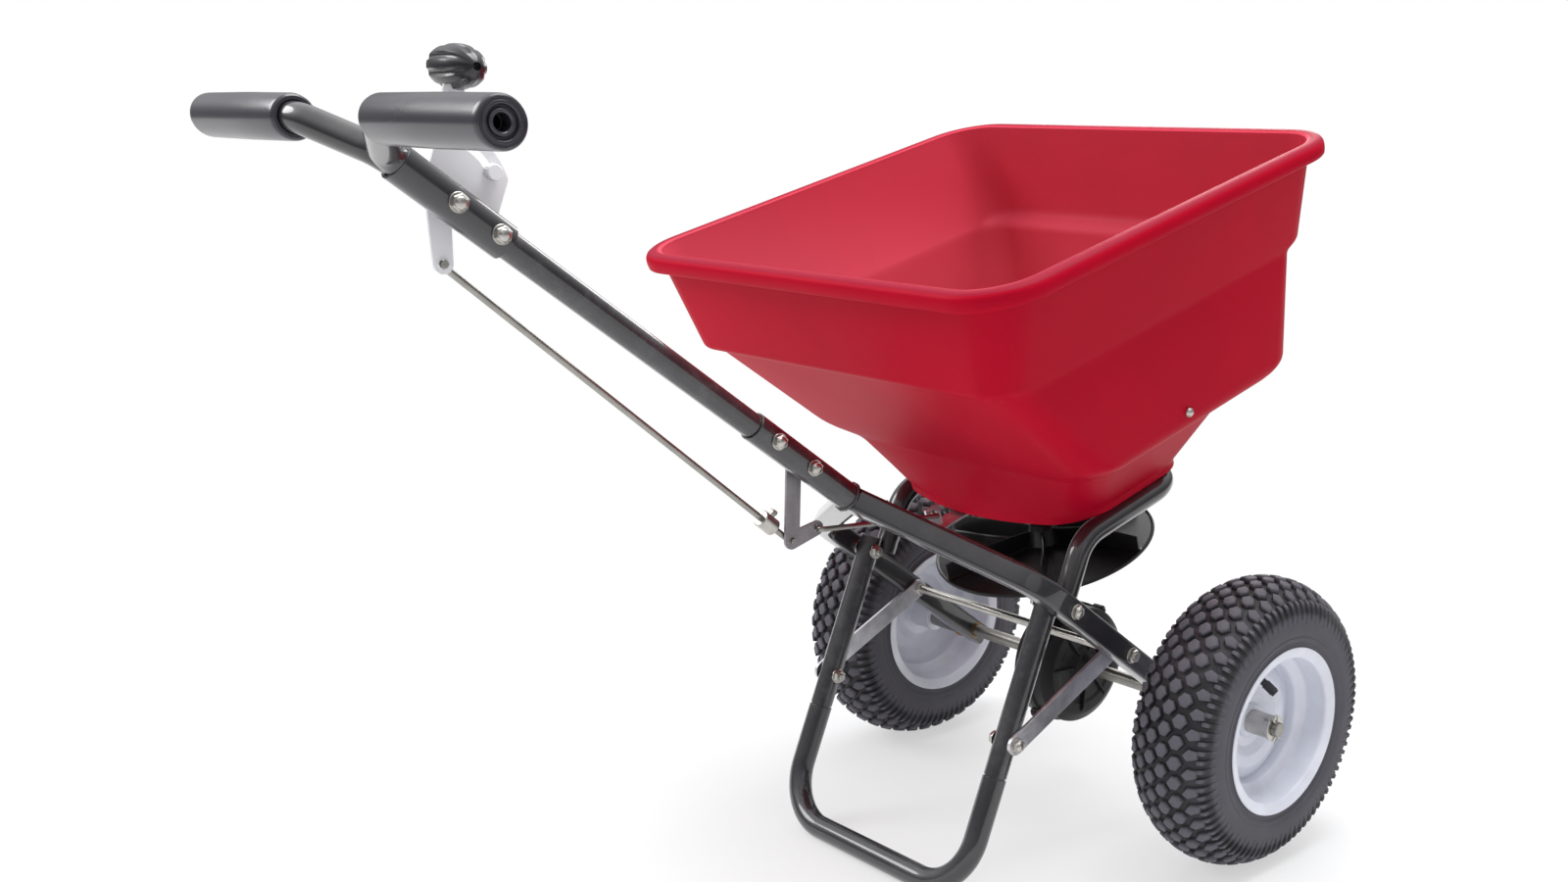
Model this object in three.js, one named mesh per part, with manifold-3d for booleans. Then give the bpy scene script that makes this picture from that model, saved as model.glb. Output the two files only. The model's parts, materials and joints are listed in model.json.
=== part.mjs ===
// Walk-behind broadcast spreader, millimetres.
// Everything is laid out in a level frame whose origin is the middle of the axle:
// x to the operator's right, y forward, z up. At the end the whole machine is parked,
// tipped back on its stand, and moved so that its base centre is the origin.
import * as THREE from 'three';
import { mergeVertices } from 'three/addons/utils/BufferGeometryUtils.js';
import Module from 'manifold-3d';

const wasm = await Module();
wasm.setup();

const V = (x, y, z) => new THREE.Vector3(x, y, z);
const RAD = Math.PI / 180;

// ---- driving dimensions -------------------------------------------------------------
const GAP = 0.3;                 // clearance between pieces that seat on each other
const RUN = 0.5;                 // clearance round a turning shaft
const PARK_TILT = 16.65;         // the machine leans back on its stand, degrees

const TYRE_R = 165;              // to the top of the studs
const TYRE_W = 104;
const STUD_H = 6;
const STUD_PAIRS = 20;           // studs round one row
const STUD_ROWS = 5;
const TREAD_W = 90;
const TREAD_CROWN = 5;
const TYRE_WALL = 5;
const RIM_R = 95;                // rim flange
const RIM_W = 104;
const RIM_T = 2.5;
const BEAD_R = 85;
const WELL_R = 72;
const HUB_R = 18;
const HUB_HALF = 34;
const WHEEL_X = 276;             // wheel centre plane
const VALVE_R = 4;
const VALVE_Z = 60;              // valve, out from the wheel centre

const AXLE_R = 8;
const AXLE_END = 320;
const PIN_R = 2.2;
const WASHER_T = 2.5;
const BUSH_T = 2.5;
const BUSH_FLANGE_T = 2.5;

const HANDLE_ANGLE = 53.4;       // rise of the handle and rail line, degrees
const RAIL_SIZE = 25.4;          // square tube
const RAIL_T = 2;
const RAIL_ROUND = 4;
const RAIL_TAIL = 20;            // rail past the axle
const RAIL_KNEE = 300;           // along the handle line, from the axle
const RAIL_SPLIT = 431;
const KNEE_R = 60;
const NECK_R = 14.8;
const NECK_LENGTH = 146;
const NECK_TOP = RAIL_SPLIT + NECK_LENGTH;
const TUBE_R = 12.7;
const TUBE_T = 1.6;
const LOWER_TUBE_IN_NECK = 100;
const SLEEVE_R = 16;
const SLEEVE_TOP = 985;
const SLEEVE_LENGTH = 107;
const BAR_RISE = 52;
const BAR_BEND = SLEEVE_TOP + BAR_RISE; // line of the grips, along the handle line
const BAR_BEND_R = 14;
const BAR_SPREAD = 72;
const GRIP_CLEAR = 6;            // bare bar between the bend and the grip
const GRIP_LENGTH = 190;
const GRIP_END = BAR_SPREAD + GRIP_CLEAR + GRIP_LENGTH;
const GRIP_R = 21;
const GRIP_WALL_END = 9;         // closed end of a grip

const RING_X = 147;              // hopper support ring, tube centre
const RING_FRONT = 90;
const RING_CORNER_R = 48;
const RING_KNEE_Y = -77;
const RING_KNEE_R = 45;
const RING_LEG = 75;
const STAND_LEAN = 50.9;         // rise of the legs, degrees
const LEG_SPIGOT = 30;
const FOOT_R = 13.3;
const FOOT_JOINT = 135;          // height of the joint above the floor when parked
const FOOT_BEND_R = 62;
const STRAP_W = 22;
const STRAP_T = 4;
const CROSS_ROD_S = 130;         // cross rod, along the handle line
const CROSS_ROD_R = 5;
const BRACE_BOLT_Z = 78;

const BASE_Z = 254;              // underside of the hopper
const SKIRT_H = 8;
const BASE_HALF = 150;
const BASE_REAR = -72;
const BASE_BULGE = 34;
const BASE_FRONT = 108;
const BASE_CORNER_R = 44;
const SHELF_Z = 324;             // top of the funnel
const SHELF_HALF = 197;
const SHELF_REAR = -104;
const SHELF_FRONT = 146;
const SHELF_CORNER_R = 46;
const SHELF_BULGE = 8;
const BOX_Z = 342;               // bottom of the upright side walls
const BOX_HALF = 232;
const BOX_REAR = -124;
const BOX_FRONT = 222;
const BOX_CORNER_R = 44;
const LEDGE_Z = 470;
const LEDGE_H = 8;
const LEDGE_HALF = 240;
const LEDGE_REAR = -222;
const LEDGE_FRONT = 236;
const LEDGE_CORNER_R = 34;
const LEDGE_STEP_SIDE = 3;       // the ledge is narrow at the sides
const LEDGE_STEP_END = 18;       // and wide at the rear and the front
const RIM_Z = 588;               // hopper rim
const MOUTH_HALF = 276;
const MOUTH_REAR = -250;
const MOUTH_FRONT = 259;
const MOUTH_CORNER_R = 52;
const LIP_OUT = 14;
const LIP_DROP = 17;
const HOPPER_T = 4;

const SHAFT_R = 6;
const BORE_REACH = 30;
const SHAFT_RISE = 42;
const SHAFT_TOP = BASE_Z + SHAFT_RISE;
const AGITATOR_REACH = 58;
const AGITATOR_RISE = 24;
const AGITATOR_WIRE_R = 3;
const SPINNER_Z = 165;
const SPINNER_R = 132;
const SPINNER_T = 3;
const VANE_H = 24;
const VANE_COUNT = 6;
const HOUSING_R = 72;
const HOUSING_HALF = 30;
const HOUSING_T = 3;
const HOUSING_NECK_R = 17;
const HOUSING_NECK_H = 26;
const LUG_R = 7;
const RING_TEETH = 36;
const PINION_TEETH = 9;
const GEAR_MODULE = 3.3;
const GEAR_FACE = 14;
const PORT_R = 13;
const PORT_X = 34;
const PORT_Y = 16;
const SHUTTER_T = 2.5;
const SHUTTER_HALF = 60;
const SHUTTER_TRAVEL = 29;
const GUIDE_T = 2;
const GUIDE_HALF = 74;           // half length of the guide, along y
const EAR_PIN_Y = -142;          // where the link pulls the shutter
const EAR_PIN_RISE = 20;

const LEVER_X = -20;             // plane of the control linkage
const LEVER_T = 3;
const LEVER_W = 20;
const LEVER_BELOW_TOP = 51;      // lever pivot below the top of the sleeve
const LEVER_S = SLEEVE_TOP - LEVER_BELOW_TOP;
const LEVER_KNOB = 107;
const LEVER_KNOB_ANGLE = 60.5;
const LEVER_SWING = 33;          // from shut to fully open, degrees
const GAUGE_SWEEP = 62;
const GAUGE_R = 62;
const GAUGE_SLOT_R = 54;
const GAUGE_SLOT_W = 7;
const LEVER_ROD = 50.8;
const LEVER_ROD_ANGLE = 253.8;
const SLEEVE_BOLT_PITCH = 43;
const SLEEVE_BOLT_S = LEVER_S - SLEEVE_BOLT_PITCH;
const GAUGE_T = 2;
const CRANK_ABOVE_SPLIT = 67;
const CRANK_S = RAIL_SPLIT + CRANK_ABOVE_SPLIT;
const CRANK_ARM = 81.6;
const CRANK_ANGLE = 250.7;
const LINK_ARM = 78;
const LINK_ANGLE = 274.3;
const NECK_BOLT_PITCH = 53;
const NECK_BOLT_S = CRANK_S + NECK_BOLT_PITCH;
const ROD_R = 3.2;
const ROD_BEND = 3.4;
const PIN_PLAY = 1.4;            // play of a rod end in the hole it pulls
const COLLAR_R = 9;
const COLLAR_LENGTH = 20;
const COLLAR_BACK = 34;          // collar up the rod from the crank
const STOP_R = 7;
const KNOB_HALF = 26;
const KNOB_R = 17;
const BOLT_R = 4;
const HEAD_R = 7.5;
const HEAD_H = 4.5;

// ---- solids -------------------------------------------------------------------------
// Shared vertices, no degenerate triangles, faces pointing out.
function tidy(source) {
  const bare = new THREE.BufferGeometry();
  bare.setAttribute('position', source.getAttribute('position').clone());
  if (source.index) bare.setIndex(source.index.clone());
  const merged = mergeVertices(bare, 1e-3);
  const p = merged.getAttribute('position');
  const index = [];
  let volume = 0;
  const [a, b, c] = [V(0, 0, 0), V(0, 0, 0), V(0, 0, 0)];
  for (let i = 0; i < merged.index.count; i += 3) {
    const t = [0, 1, 2].map((k) => merged.index.getX(i + k));
    if (t[0] === t[1] || t[1] === t[2] || t[2] === t[0]) continue;
    a.fromBufferAttribute(p, t[0]);
    b.fromBufferAttribute(p, t[1]);
    c.fromBufferAttribute(p, t[2]);
    volume += a.dot(b.cross(c));
    index.push(...t);
  }
  if (volume < 0) {
    for (let i = 0; i < index.length; i += 3) [index[i], index[i + 1]] = [index[i + 1], index[i]];
  }
  merged.setIndex(index);
  return merged;
}

function toManifold(geometry) {
  const g = tidy(geometry);
  return new wasm.Manifold(new wasm.Mesh({
    numProp: 3,
    vertProperties: new Float32Array(g.getAttribute('position').array),
    triVerts: new Uint32Array(g.index.array),
  }));
}

function fromManifold(body) {
  const mesh = body.getMesh();
  const g = new THREE.BufferGeometry();
  g.setAttribute('position', new THREE.BufferAttribute(new Float32Array(mesh.vertProperties), 3));
  g.setIndex(Array.from(mesh.triVerts));
  return g;
}

function cut(geometry, ...tools) {
  return fromManifold(tools.reduce((body, tool) => body.subtract(toManifold(tool)), toManifold(geometry)));
}

function join(geometry, ...others) {
  return fromManifold(others.reduce((body, other) => body.add(toManifold(other)), toManifold(geometry)));
}

function keep(geometry, region) {
  return fromManifold(toManifold(geometry).intersect(toManifold(region)));
}

function moved(geometry, x, y, z) {
  return geometry.clone().translate(x, y, z);
}

function mirrored(geometry) {
  return tidy(geometry.clone().scale(-1, 1, 1));
}

function box(x0, x1, y0, y1, z0, z1) {
  return new THREE.BoxGeometry(x1 - x0, y1 - y0, z1 - z0)
    .translate((x0 + x1) / 2, (y0 + y1) / 2, (z0 + z1) / 2);
}

// Cylinder between two points.
function rod(a, b, radius, sides = 12) {
  const along = b.clone().sub(a);
  const g = new THREE.CylinderGeometry(radius, radius, along.length(), sides);
  g.applyQuaternion(new THREE.Quaternion().setFromUnitVectors(V(0, 1, 0), along.clone().normalize()));
  return g.translate(...a.clone().add(b).multiplyScalar(0.5).toArray());
}

function rodX(x0, x1, y, z, radius, sides = 12) {
  return rod(V(x0, y, z), V(x1, y, z), radius, sides);
}

// Profile of [position, radius] pairs turned about the x axis, or about z when upright.
function turned(profile, segments, upright = false) {
  const points = profile.map(([at, radius]) => new THREE.Vector2(radius, at));
  if (profile[0][1] > 0) points.push(points[0].clone());
  const g = new THREE.LatheGeometry(points, segments);
  return tidy(upright ? g.rotateX(Math.PI / 2) : g.rotateZ(-Math.PI / 2));
}

// Plate parallel to the y-z plane from an outline in (y, z), between x0 and x0 + thickness.
function sidePlate(shape, x0, thickness) {
  const g = new THREE.ExtrudeGeometry(shape, { depth: thickness, bevelEnabled: false, curveSegments: 3 });
  g.applyMatrix4(new THREE.Matrix4().makeBasis(V(0, 1, 0), V(0, 0, 1), V(1, 0, 0)));
  return g.translate(x0, 0, 0);
}

// Skin of triangles between rings of points.
class Skin {
  constructor() {
    this.xyz = [];
    this.index = [];
  }

  ring(points) {
    return points.map((p) => this.point(p));
  }

  point(p) {
    this.xyz.push(p.x, p.y, p.z);
    return this.xyz.length / 3 - 1;
  }

  quad(a, b, c, d) {
    this.index.push(a, b, c, a, c, d);
  }

  // Joins two closed rings; the second may hold half as many points as the first.
  band(a, b) {
    const n = b.length;
    for (let i = 0; i < n; i++) {
      const j = (i + 1) % n;
      if (a.length === n) {
        this.quad(a[i], b[i], b[j], a[j]);
      } else {
        const [p, q, r] = [a[2 * i], a[2 * i + 1], a[(2 * i + 2) % a.length]];
        this.index.push(p, b[i], q, b[i], b[j], q, b[j], r, q);
      }
    }
  }

  cap(ring, reversed) {
    for (let i = 1; i < ring.length - 1; i++) {
      const t = [ring[0], ring[i], ring[i + 1]];
      this.index.push(...(reversed ? t.reverse() : t));
    }
  }

  geometry() {
    const g = new THREE.BufferGeometry();
    g.setAttribute('position', new THREE.Float32BufferAttribute(this.xyz, 3));
    g.setIndex(this.index);
    return tidy(g);
  }
}

function loft(rings) {
  const skin = new Skin();
  const ids = rings.map((points) => skin.ring(points));
  for (let i = 1; i < ids.length; i++) skin.band(ids[i - 1], ids[i]);
  skin.cap(ids[0], false);
  skin.cap(ids[ids.length - 1], true);
  return skin.geometry();
}

// ---- bent tubes ---------------------------------------------------------------------
// Straight runs joined by true arcs, sampled only where the tube bends.
class BentPath extends THREE.Curve {
  constructor(corners, radii, arcSteps = 5) {
    super();
    this.stations = [{ point: corners[0], tangent: corners[1].clone().sub(corners[0]).normalize() }];
    for (let i = 1; i < corners.length - 1; i++) {
      this.addBend(corners[i - 1], corners[i], corners[i + 1], radii[i - 1], arcSteps);
    }
    const [before, last] = corners.slice(-2);
    this.stations.push({ point: last, tangent: last.clone().sub(before).normalize() });
  }

  addBend(before, corner, after, radius, arcSteps) {
    const u = corner.clone().sub(before).normalize();
    const w = after.clone().sub(corner).normalize();
    const turn = Math.acos(THREE.MathUtils.clamp(u.dot(w), -1, 1));
    const inward = w.clone().addScaledVector(u, -u.dot(w)).normalize();
    const start = corner.clone().addScaledVector(u, -radius * Math.tan(turn / 2));
    const centre = start.clone().addScaledVector(inward, radius);
    for (let k = 0; k <= arcSteps; k++) {
      const angle = turn * k / arcSteps;
      const point = centre.clone().addScaledVector(inward, -radius * Math.cos(angle))
        .addScaledVector(u, radius * Math.sin(angle));
      const tangent = u.clone().multiplyScalar(Math.cos(angle)).addScaledVector(inward, Math.sin(angle));
      this.stations.push({ point, tangent });
    }
  }

  at(t) {
    return this.stations[Math.round(t * (this.stations.length - 1))];
  }

  getPoint(t, target = new THREE.Vector3()) {
    return target.copy(this.at(t).point);
  }

  getPointAt(u, target) {
    return this.getPoint(u, target);
  }

  getTangent(t, target = new THREE.Vector3()) {
    return target.copy(this.at(t).tangent);
  }

  getTangentAt(u, target) {
    return this.getTangent(u, target);
  }
}

function roundSection(radius, sides) {
  return Array.from({ length: sides }, (_, k) => {
    const angle = 2 * Math.PI * (k + 0.5) / sides;
    return new THREE.Vector2(radius * Math.cos(angle), radius * Math.sin(angle));
  });
}

function squareSection(size, round) {
  const reach = size / 2 - round;
  return Array.from({ length: 12 }, (_, k) => {
    const corner = Math.floor(k / 3) * 90 + 45;
    const angle = (corner + (k % 3 - 1) * 45) * RAD;
    const cx = Math.sign(Math.cos(corner * RAD)) * reach;
    const cy = Math.sign(Math.sin(corner * RAD)) * reach;
    return new THREE.Vector2(cx + round * Math.cos(angle), cy + round * Math.sin(angle));
  });
}

function alongPath(path, outer, inner) {
  const shape = new THREE.Shape(outer);
  if (inner) shape.holes.push(new THREE.Path(inner));
  return tidy(new THREE.ExtrudeGeometry(shape, {
    steps: path.stations.length - 1, extrudePath: path, bevelEnabled: false,
  }));
}

function roundTube(corners, radii, radius, wall = TUBE_T, boreSides = 6, arcSteps = 4) {
  const bore = roundSection(radius - wall, boreSides);
  return alongPath(new BentPath(corners, radii, arcSteps), roundSection(radius, 12), bore);
}

function solidRod(corners, radii, radius, sides = 8) {
  return alongPath(new BentPath(corners, radii, 3), roundSection(radius, sides));
}

// ---- fasteners ----------------------------------------------------------------------
// Hex bolt with its nut, along x, gripping what lies between x0 (nut) and x1 (head).
function boltX(x0, x1, y, z, radius = BOLT_R, headRadius = HEAD_R) {
  const low = x0 - HEAD_H;
  const shank = rodX(low - 3, x1 + 1, y, z, radius, 6);
  const head = rodX(x1 + GAP, x1 + HEAD_H, y, z, headRadius, 6);
  const nut = rodX(low, x0 - GAP, y, z, headRadius, 6);
  return join(shank, head, nut);
}

function boreX(x0, x1, y, z, radius = BOLT_R, sides = 6) {
  return rodX(x0, x1, y, z, radius + GAP, sides);
}

// ---- lines the frame is built on ----------------------------------------------------
// Point on the handle line: s along it from the axle, off square to it, upwards.
function onHandle(s, x = 0, off = 0) {
  const [c, d] = [Math.cos(HANDLE_ANGLE * RAD), Math.sin(HANDLE_ANGLE * RAD)];
  return V(x, -s * c + off * d, s * d + off * c);
}

const UP_LEG = V(0, Math.cos(STAND_LEAN * RAD), Math.sin(STAND_LEAN * RAD));
const BEHIND_LEG = V(0, -Math.sin(STAND_LEAN * RAD), Math.cos(STAND_LEAN * RAD));
const RAIL_X = RING_X + TUBE_R + STRAP_T + 2 * GAP + RAIL_SIZE / 2;
const RING_Z = BASE_Z - GAP - TUBE_R;
const ringKnee = V(RING_X, RING_KNEE_Y, RING_Z);
const legAxis = ringKnee.clone().addScaledVector(BEHIND_LEG, 2 * TUBE_R + GAP);

// Where a leg's centre line crosses the rail's centre line, seen from the side.
function legAtRail() {
  const along = onHandle(1);
  const cross = UP_LEG.y * along.z - UP_LEG.z * along.y;
  const t = (along.y * legAxis.z - along.z * legAxis.y) / cross;
  return legAxis.clone().addScaledVector(UP_LEG, t);
}

const railBolt = legAtRail();
const parkedHeight = (p) => TYRE_R + p.y * Math.sin(PARK_TILT * RAD) + p.z * Math.cos(PARK_TILT * RAD);

// Point of a leg's centre line at a given height above the floor when parked.
function legAtHeight(height) {
  const perStep = parkedHeight(UP_LEG) - TYRE_R;
  return legAxis.clone().addScaledVector(UP_LEG, (height - parkedHeight(legAxis)) / perStep);
}

function legAtLevel(z) {
  return legAxis.clone().addScaledVector(UP_LEG, (z - legAxis.z) / UP_LEG.z);
}

const COTTER_X = WHEEL_X + HUB_HALF + 2 * GAP + WASHER_T + PIN_R + GAP;

// ---- frame --------------------------------------------------------------------------
// Further than any piece reaches, so that a cutting block never ends inside one.
const FAR = 1500;
const halfSpace = (x0, x1) => box(x0, x1, -FAR, FAR, -FAR, FAR);

function sideRail() {
  const corners = [onHandle(-RAIL_TAIL, RAIL_X), onHandle(RAIL_KNEE, RAIL_X), onHandle(RAIL_SPLIT + 4, -12)];
  const path = new BentPath(corners, [KNEE_R], 4);
  const reach = RAIL_SIZE / 2 - RAIL_T;
  const inner = [[1, 1], [-1, 1], [-1, -1], [1, -1]].map(([i, j]) => new THREE.Vector2(i * reach, j * reach));
  const tube = alongPath(turnSection(path), squareSection(RAIL_SIZE, RAIL_ROUND), inner);
  const neckEnd = rod(onHandle(RAIL_SPLIT - GAP), onHandle(RAIL_SPLIT + 60), NECK_R + 12, 16);
  const cleared = cut(keep(tube, halfSpace(GAP / 2, FAR)), neckEnd);
  return cut(cleared,
    boreX(RAIL_X - BORE_REACH, RAIL_X + BORE_REACH, 0, 0, AXLE_R + BUSH_T, 16),
    boreX(RAIL_X - 30, RAIL_X + 30, railBolt.y, railBolt.z),
    boreX(RAIL_X - 30, RAIL_X + 30, onHandle(CROSS_ROD_S).y, onHandle(CROSS_ROD_S).z, CROSS_ROD_R, 12));
}

// The rails lie in a slanting plane; their section's first axis is turned to that plane's normal.
function turnSection(path) {
  const normal = V(0, Math.sin(HANDLE_ANGLE * RAD), Math.cos(HANDLE_ANGLE * RAD));
  path.computeFrenetFrames = (segments) => {
    const tangents = Array.from({ length: segments + 1 }, (_, i) => path.getTangentAt(i / segments));
    const normals = tangents.map(() => normal.clone());
    const binormals = tangents.map((t) => t.clone().cross(normal));
    return { tangents, normals, binormals };
  };
  return path;
}

function frameNeck() {
  const tube = roundTube([onHandle(RAIL_SPLIT), onHandle(NECK_TOP)], [], NECK_R, NECK_R - TUBE_R - GAP, 12);
  return cut(tube, ...[CRANK_S, NECK_BOLT_S].map((s) => boreX(-40, 40, onHandle(s).y, onHandle(s).z)));
}

function lowerTube() {
  const ends = [onHandle(NECK_TOP - LOWER_TUBE_IN_NECK), onHandle(SLEEVE_TOP - 8)];
  const bolts = [CRANK_S, NECK_BOLT_S, SLEEVE_BOLT_S, LEVER_S];
  return cut(roundTube(ends, [], TUBE_R), ...bolts.map((s) => boreX(-40, 40, onHandle(s).y, onHandle(s).z)));
}

function neckSleeve() {
  const tube = roundTube([onHandle(SLEEVE_TOP - SLEEVE_LENGTH), onHandle(SLEEVE_TOP)], [], SLEEVE_R, SLEEVE_R - TUBE_R - GAP, 12);
  return cut(tube, ...[SLEEVE_BOLT_S, LEVER_S].map((s) => boreX(-40, 40, onHandle(s).y, onHandle(s).z)));
}

function handleBar() {
  const corners = [
    onHandle(SLEEVE_TOP - 10, 3), onHandle(SLEEVE_TOP + 12, 5),
    onHandle(BAR_BEND, BAR_SPREAD), onHandle(BAR_BEND, GRIP_END - GRIP_WALL_END - 1),
  ];
  const sleeveEnd = rod(onHandle(SLEEVE_TOP - 60), onHandle(SLEEVE_TOP + GAP), SLEEVE_R + 12, 16);
  return cut(keep(roundTube(corners, [12, BAR_BEND_R], TUBE_R), halfSpace(GAP / 2, FAR)), sleeveEnd);
}

function grip() {
  const bore = (TUBE_R + GAP) / Math.cos(Math.PI / 12);
  const profile = [
    [0, 3.5], [0, 8], [-2.5, 9], [-2.5, 12.5], [0, 13.5], [0, 17], [-4, GRIP_R],
    [-GRIP_LENGTH / 2, GRIP_R + 0.8], [-GRIP_LENGTH + 16, GRIP_R - 1], [-GRIP_LENGTH + 14, GRIP_R + 1.5],
    [-GRIP_LENGTH + 3, GRIP_R + 1], [-GRIP_LENGTH, GRIP_R - 3], [-GRIP_LENGTH, bore], [-GRIP_WALL_END, bore], [-GRIP_WALL_END, 3.5],
  ];
  return moved(turned(profile, 12), GRIP_END, onHandle(BAR_BEND).y, onHandle(BAR_BEND).z);
}

function supportRing() {
  const foot = ringKnee.clone().addScaledVector(UP_LEG, -RING_LEG);
  const half = [foot, ringKnee, V(RING_X, RING_FRONT, RING_Z)];
  const corners = [...half, ...half.slice().reverse().map((p) => V(-p.x, p.y, p.z))];
  return roundTube(corners, [RING_KNEE_R, RING_CORNER_R, RING_CORNER_R, RING_KNEE_R], TUBE_R, TUBE_T, 6, 3);
}

// ---- stand --------------------------------------------------------------------------
function standLeg() {
  const top = railBolt.clone().addScaledVector(UP_LEG, 16);
  const joint = legAtHeight(FOOT_JOINT);
  const boltHole = (p, radius) => boreX(RING_X - 40, RING_X + 40, p.y, p.z, radius);
  const inner = TUBE_R - TUBE_T;
  const spigotEnds = [joint.clone().addScaledVector(UP_LEG, 20), joint.clone().addScaledVector(UP_LEG, -LEG_SPIGOT)];
  const spigot = alongPath(new BentPath(spigotEnds, []), roundSection(inner + 0.4, 12), roundSection(inner - 2, 6));
  const tube = join(roundTube([top, joint], [], TUBE_R), spigot);
  return cut(tube, boltHole(railBolt), boltHole(legAtLevel(BRACE_BOLT_Z)));
}

function footLoop() {
  const start = legAtHeight(FOOT_JOINT).addScaledVector(UP_LEG, -GAP);
  const floor = legAtHeight(FOOT_R);
  const corners = [start, floor, V(-floor.x, floor.y, floor.z), V(-start.x, start.y, start.z)];
  return roundTube(corners, [FOOT_BEND_R, FOOT_BEND_R], FOOT_R, FOOT_R - (TUBE_R - TUBE_T) - 2 * GAP, 12, 5);
}

function flatStrap(a, b, width, x0, thickness, holes) {
  const along = b.clone().sub(a);
  const angle = Math.atan2(along.z, along.y);
  const shape = new THREE.Shape();
  shape.absarc(b.y, b.z, width / 2, angle - Math.PI / 2, angle + Math.PI / 2);
  shape.absarc(a.y, a.z, width / 2, angle + Math.PI / 2, angle + 3 * Math.PI / 2);
  shape.closePath();
  const bores = holes.map(([p, radius]) => boreX(x0 - 5, x0 + thickness + 5, p.y, p.z, radius, 12));
  return cut(sidePlate(shape, x0, thickness), ...bores);
}

function brace() {
  const low = legAtLevel(BRACE_BOLT_Z);
  const high = onHandle(CROSS_ROD_S);
  return flatStrap(low, high, STRAP_W, RING_X + TUBE_R + GAP, STRAP_T, [[low, BOLT_R], [high, CROSS_ROD_R]]);
}

function crossRod() {
  const at = onHandle(CROSS_ROD_S);
  const reach = RAIL_X + RAIL_SIZE / 2;
  const collar = RING_X + TUBE_R;
  const nuts = [-1, 1].map((side) => rodX(side * (reach + GAP), side * (reach + 5), at.y, at.z, 8, 6));
  const collars = [-1, 1].map((side) => rodX(side * (collar - 6), side * collar, at.y, at.z, 8, 10));
  return join(rodX(-reach - 8, reach + 8, at.y, at.z, CROSS_ROD_R), ...nuts, ...collars);
}

// Rail bolt with a spacer that fills the room which the braces take elsewhere.
function railBoltPiece() {
  const spacer = rodX(RING_X + TUBE_R + GAP, RING_X + TUBE_R + GAP + STRAP_T, railBolt.y, railBolt.z, 9);
  return join(boltX(RING_X - TUBE_R, RAIL_X + RAIL_SIZE / 2, railBolt.y, railBolt.z), spacer);
}

function braceBolt() {
  const low = legAtLevel(BRACE_BOLT_Z);
  return boltX(RING_X - TUBE_R, RING_X + TUBE_R + GAP + STRAP_T, low.y, low.z);
}

// ---- wheels -------------------------------------------------------------------------
function wheelRim() {
  const half = RIM_W / 2;
  const seat = BEAD_R - RIM_T;
  const well = WELL_R - RIM_T;
  const profile = [
    [half, RIM_R], [half - 6, BEAD_R], [20, BEAD_R], [14, WELL_R],
    [-14, WELL_R], [-20, BEAD_R], [6 - half, BEAD_R], [-half, RIM_R],
    [4 - half, seat], [-21, seat], [-15, well], [-6, well],
    [6, 50], [-2, 30], [-2, HUB_R], [-HUB_HALF, HUB_R], [-HUB_HALF, AXLE_R + BUSH_T + GAP],
    [HUB_HALF, AXLE_R + BUSH_T + GAP], [HUB_HALF, HUB_R], [2, HUB_R], [2, 30], [10, 50],
    [-2, well], [15, well], [21, seat], [half - 4, seat],
  ];
  const valveHole = rod(V(-20, 0, VALVE_Z), V(20, 0, VALVE_Z), VALVE_R + GAP, 12);
  return cut(turned(profile, STUD_PAIRS), valveHole);
}

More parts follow.
